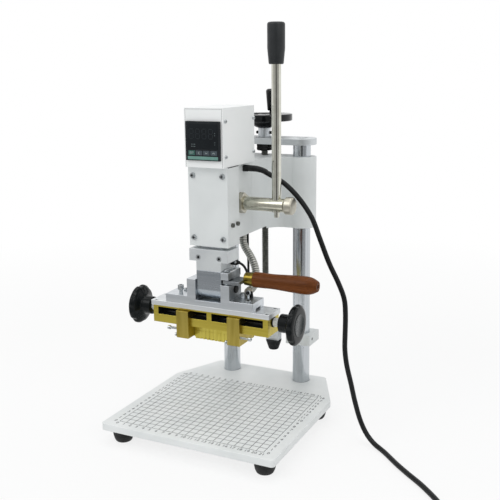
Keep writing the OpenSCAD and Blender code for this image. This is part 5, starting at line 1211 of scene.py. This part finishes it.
def makeSensorClip(clip):
    bm = bmesh.new()
    addBox(bm, clip["low"], clip["high"], 0.8)
    addSpun(bm, [(0, 0), (2.5, 0), (2.5, 1.2), (2.1, 3.2), (0, 3.2)], clip["boss"], "x", 20)
    placePiece(bm, "sensorClip", "mouldedRubber", "ram", "black_plastic")
    bm = bmesh.new()
    addSpun(bm, [(0, -0.3), (1.9, -0.3), (1.9, 0.3), (1.4, 0.9), (0, 1.1)], clip["rivet"], "-y", 20)
    placePiece(bm, "sensorClipRivet", "zincPlatedSteel", "ram", "bright_steel")


makeSensorClip(sensorClip)

# the heater's terminals: a clamp block, a ceramic bead round the conduit's end, a ringed screw and a dark cap
heaterTerminals = {"floor": 194.4, "clamp": ((36.2, -43.8), (43.6, -37.6), 200.2), "bead": (43.5, -30.2, 200.6),
                   "screw": (47.6, -41.8, 202.4), "cap": (48.6, -34.0, 194.4)}


def makeTerminals(terminals):
    low = terminals["floor"]
    (x0, y0), (x1, y1), top = terminals["clamp"]
    bm = bmesh.new()
    addBox(bm, (x0, y0, low), (x1, y1, top), 0.5)
    addSpun(bm, [(0, 0), (2.4, 0), (2.4, 1.2), (1.9, 1.7), (0.9, 1.7), (0.9, 0.9), (0, 0.9)],
            ((x0 + x1) / 2, (y0 + y1) / 2, top), "z", 20)
    x, y, z = terminals["screw"]
    addBox(bm, (x - 1.4, y + 0.4, low), (x + 1.4, y + 2.0, z + 1.5), 0.3)
    addSpun(bm, [(2.5, 0), (3.4, 0), (3.4, 0.9), (3.0, 1.3), (2.5, 1.3), (2.5, 0)], (x, y + 0.6, z), "-y", 24)
    placePiece(bm, "terminalClamp", "zincPlatedSteel", "head", "bright_steel")
    bm = bmesh.new()
    addSpun(bm, [(0, -0.6), (2.5, -0.6), (2.5, 1.9), (1.9, 2.3), (0, 2.3)], (x, y + 0.6, z), "-y", 24)
    x, y, z = terminals["cap"]
    addSpun(bm, [(0, 0), (2.4, 0), (2.4, 3.0), (1.7, 7.2), (1.1, 8.0), (0, 8.0)], (x, y, z), "z", 20)
    placePiece(bm, "terminalCaps", "mouldedPhenolic", "head", "black_plastic")
    bm = bmesh.new()
    x, y, z = terminals["bead"]
    addSpun(bm, [(0, 0), (5.4, 0), (5.7, 0.6), (5.7, 2.6), (4.6, 3.2), (4.6, 5.2), (3.9, 6.0), (0, 6.0)],
            (x, y, z), "-y", 28)
    addBox(bm, (x - 4.0, y - 5.4, low), (x + 4.0, y - 0.4, z - 2.4), 0.8)
    piece = placePiece(bm, "terminalBead", "pressedSteatite", "head", "white_ceramic")
    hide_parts("heater_terminals")


makeTerminals(heaterTerminals)
print("small fittings placed")

# floor, light and the cards that the bright metal mirrors; the lamps give place and size in m, and power in W
studio = {"floor": "#F4F5F5", "floorSize": 6.0, "floorRough": 0.9, "floorGlow": 0.8, "fade": (0.55, 1.3),
          "world": 0.62, "camera": 1.0, "aim": (0, 0, 0.25),
          "key": (-0.9, -1.5, 1.9, 1.4, 12.0), "fill": (1.7, -0.9, 1.3, 1.2, 5.0), "top": (0.1, 0.2, 2.3, 1.6, 10.0)}
# cards that only mirrors see, on the floor and standing at its far end: from and to this way round from the front,
# and how bright they are
floorCards = {"left": (-160, 12, 0.46), "dark": (12, 32, 0.04), "middle": (32, 74, 0.42)}
wallCards = {"farLeft": (-160, -50, 0.9), "left": (-50, 10, 0.5), "dark": (10, 31, 0.03), "middle": (31, 86, 0.4)}
cardPlace = {"centre": (0.0575, 0.113), "inner": 0.62, "outer": 3.5, "lift": 0.003, "high": 1.4, "steps": 16}
white = (1, 1, 1, 1)


def seenDirectly(tree):
    path = addNode(tree, "ShaderNodeLightPath")
    both = addNode(tree, "ShaderNodeMath", {0: path.outputs["Is Camera Ray"], 1: path.outputs["Is Glossy Ray"]},
                   operation="MAXIMUM")
    seen = addNode(tree, "ShaderNodeMath", {0: both.outputs[0], 1: path.outputs["Is Transmission Ray"]},
                   operation="MAXIMUM")
    return seen.outputs[0]


def placeStage(bm, name, material):
    mesh = bpy.data.meshes.new(name)
    bm.to_mesh(mesh)
    bm.free()
    mesh.materials.append(material)
    stand = bpy.data.objects.new(name, mesh)
    scene.collection.objects.link(stand)
    return stand


def makeStudio(room):
    world = bpy.data.worlds.new("studioWorld")
    scene.world = world
    world.use_nodes = True
    tree = world.node_tree
    back = tree.nodes["Background"]
    back.inputs["Color"].default_value = white
    level = addNode(tree, "ShaderNodeMapRange", {"Value": seenDirectly(tree), "To Min": room["world"],
                                                 "To Max": room["camera"]})
    tree.links.new(level.outputs["Result"], back.inputs["Strength"])
    material, tree, shader = startMaterial("paleFloor", {
        "Base Color": hexToLinear(room["floor"]), "Roughness": room["floorRough"], "Specular IOR Level": 0.0})
    glow = addNode(tree, "ShaderNodeEmission", {"Color": white, "Strength": 1.0})
    place = addNode(tree, "ShaderNodeTexCoord").outputs["Object"]
    away = addNode(tree, "ShaderNodeVectorMath", {0: place}, operation="LENGTH")
    near, far = room["fade"]  # the floor fades into the white round it
    fade = addNode(tree, "ShaderNodeMapRange", {"Value": away.outputs["Value"], "From Min": near, "From Max": far,
                                                "To Min": room["floorGlow"], "To Max": 1.0})
    share = addNode(tree, "ShaderNodeMath", {0: seenDirectly(tree), 1: fade.outputs["Result"]}, operation="MULTIPLY")
    mixed = addNode(tree, "ShaderNodeMixShader", {0: share.outputs[0], 1: shader.outputs["BSDF"], 2: glow.outputs[0]})
    tree.links.new(mixed.outputs[0], tree.nodes["Material Output"].inputs["Surface"])
    bm = bmesh.new()
    bmesh.ops.create_grid(bm, x_segments=1, y_segments=1, size=room["floorSize"])
    placeStage(bm, "studioFloor", material)
    for name in ("key", "fill", "top"):
        x, y, z, size, power = room[name]
        lamp = bpy.data.lights.new(name + "Lamp", "AREA")
        lamp.shape = "DISK"
        lamp.size = size
        lamp.energy = power
        holder = bpy.data.objects.new(name + "Lamp", lamp)
        scene.collection.objects.link(holder)
        holder.location = (x, y, z)
        holder.rotation_euler = (Vector(room["aim"]) - holder.location).to_track_quat("-Z", "Y").to_euler()


def makeCards(kind, cards, place, low, high):
    x, y = place["centre"]
    for name, (start, end, level) in cards.items():
        bm = bmesh.new()
        turn = math.radians(start)
        verts = [bm.verts.new((x + r * math.sin(turn), y - r * math.cos(turn), z)) for r, z in (low, high)]
        edge = bm.edges.new(verts)
        bmesh.ops.spin(bm, geom=verts + [edge], cent=(x, y, 0), axis=(0, 0, 1), angle=math.radians(end - start),
                       steps=place["steps"])
        material, tree, _ = startMaterial(name + kind + "Paper", {})
        tone = addNode(tree, "ShaderNodeEmission", {"Color": white, "Strength": level})
        tree.links.new(tone.outputs[0], tree.nodes["Material Output"].inputs["Surface"])
        card = placeStage(bm, name + kind, material)
        card.visible_camera = card.visible_diffuse = card.visible_transmission = card.visible_shadow = False


makeStudio(studio)
farLow, farHigh = ((cardPlace["outer"], cardPlace[key]) for key in ("lift", "high"))
makeCards("FloorCard", floorCards, cardPlace, (cardPlace["inner"], cardPlace["lift"]), farLow)
makeCards("WallCard", wallCards, cardPlace, farLow, farHigh)
print("studio lit")
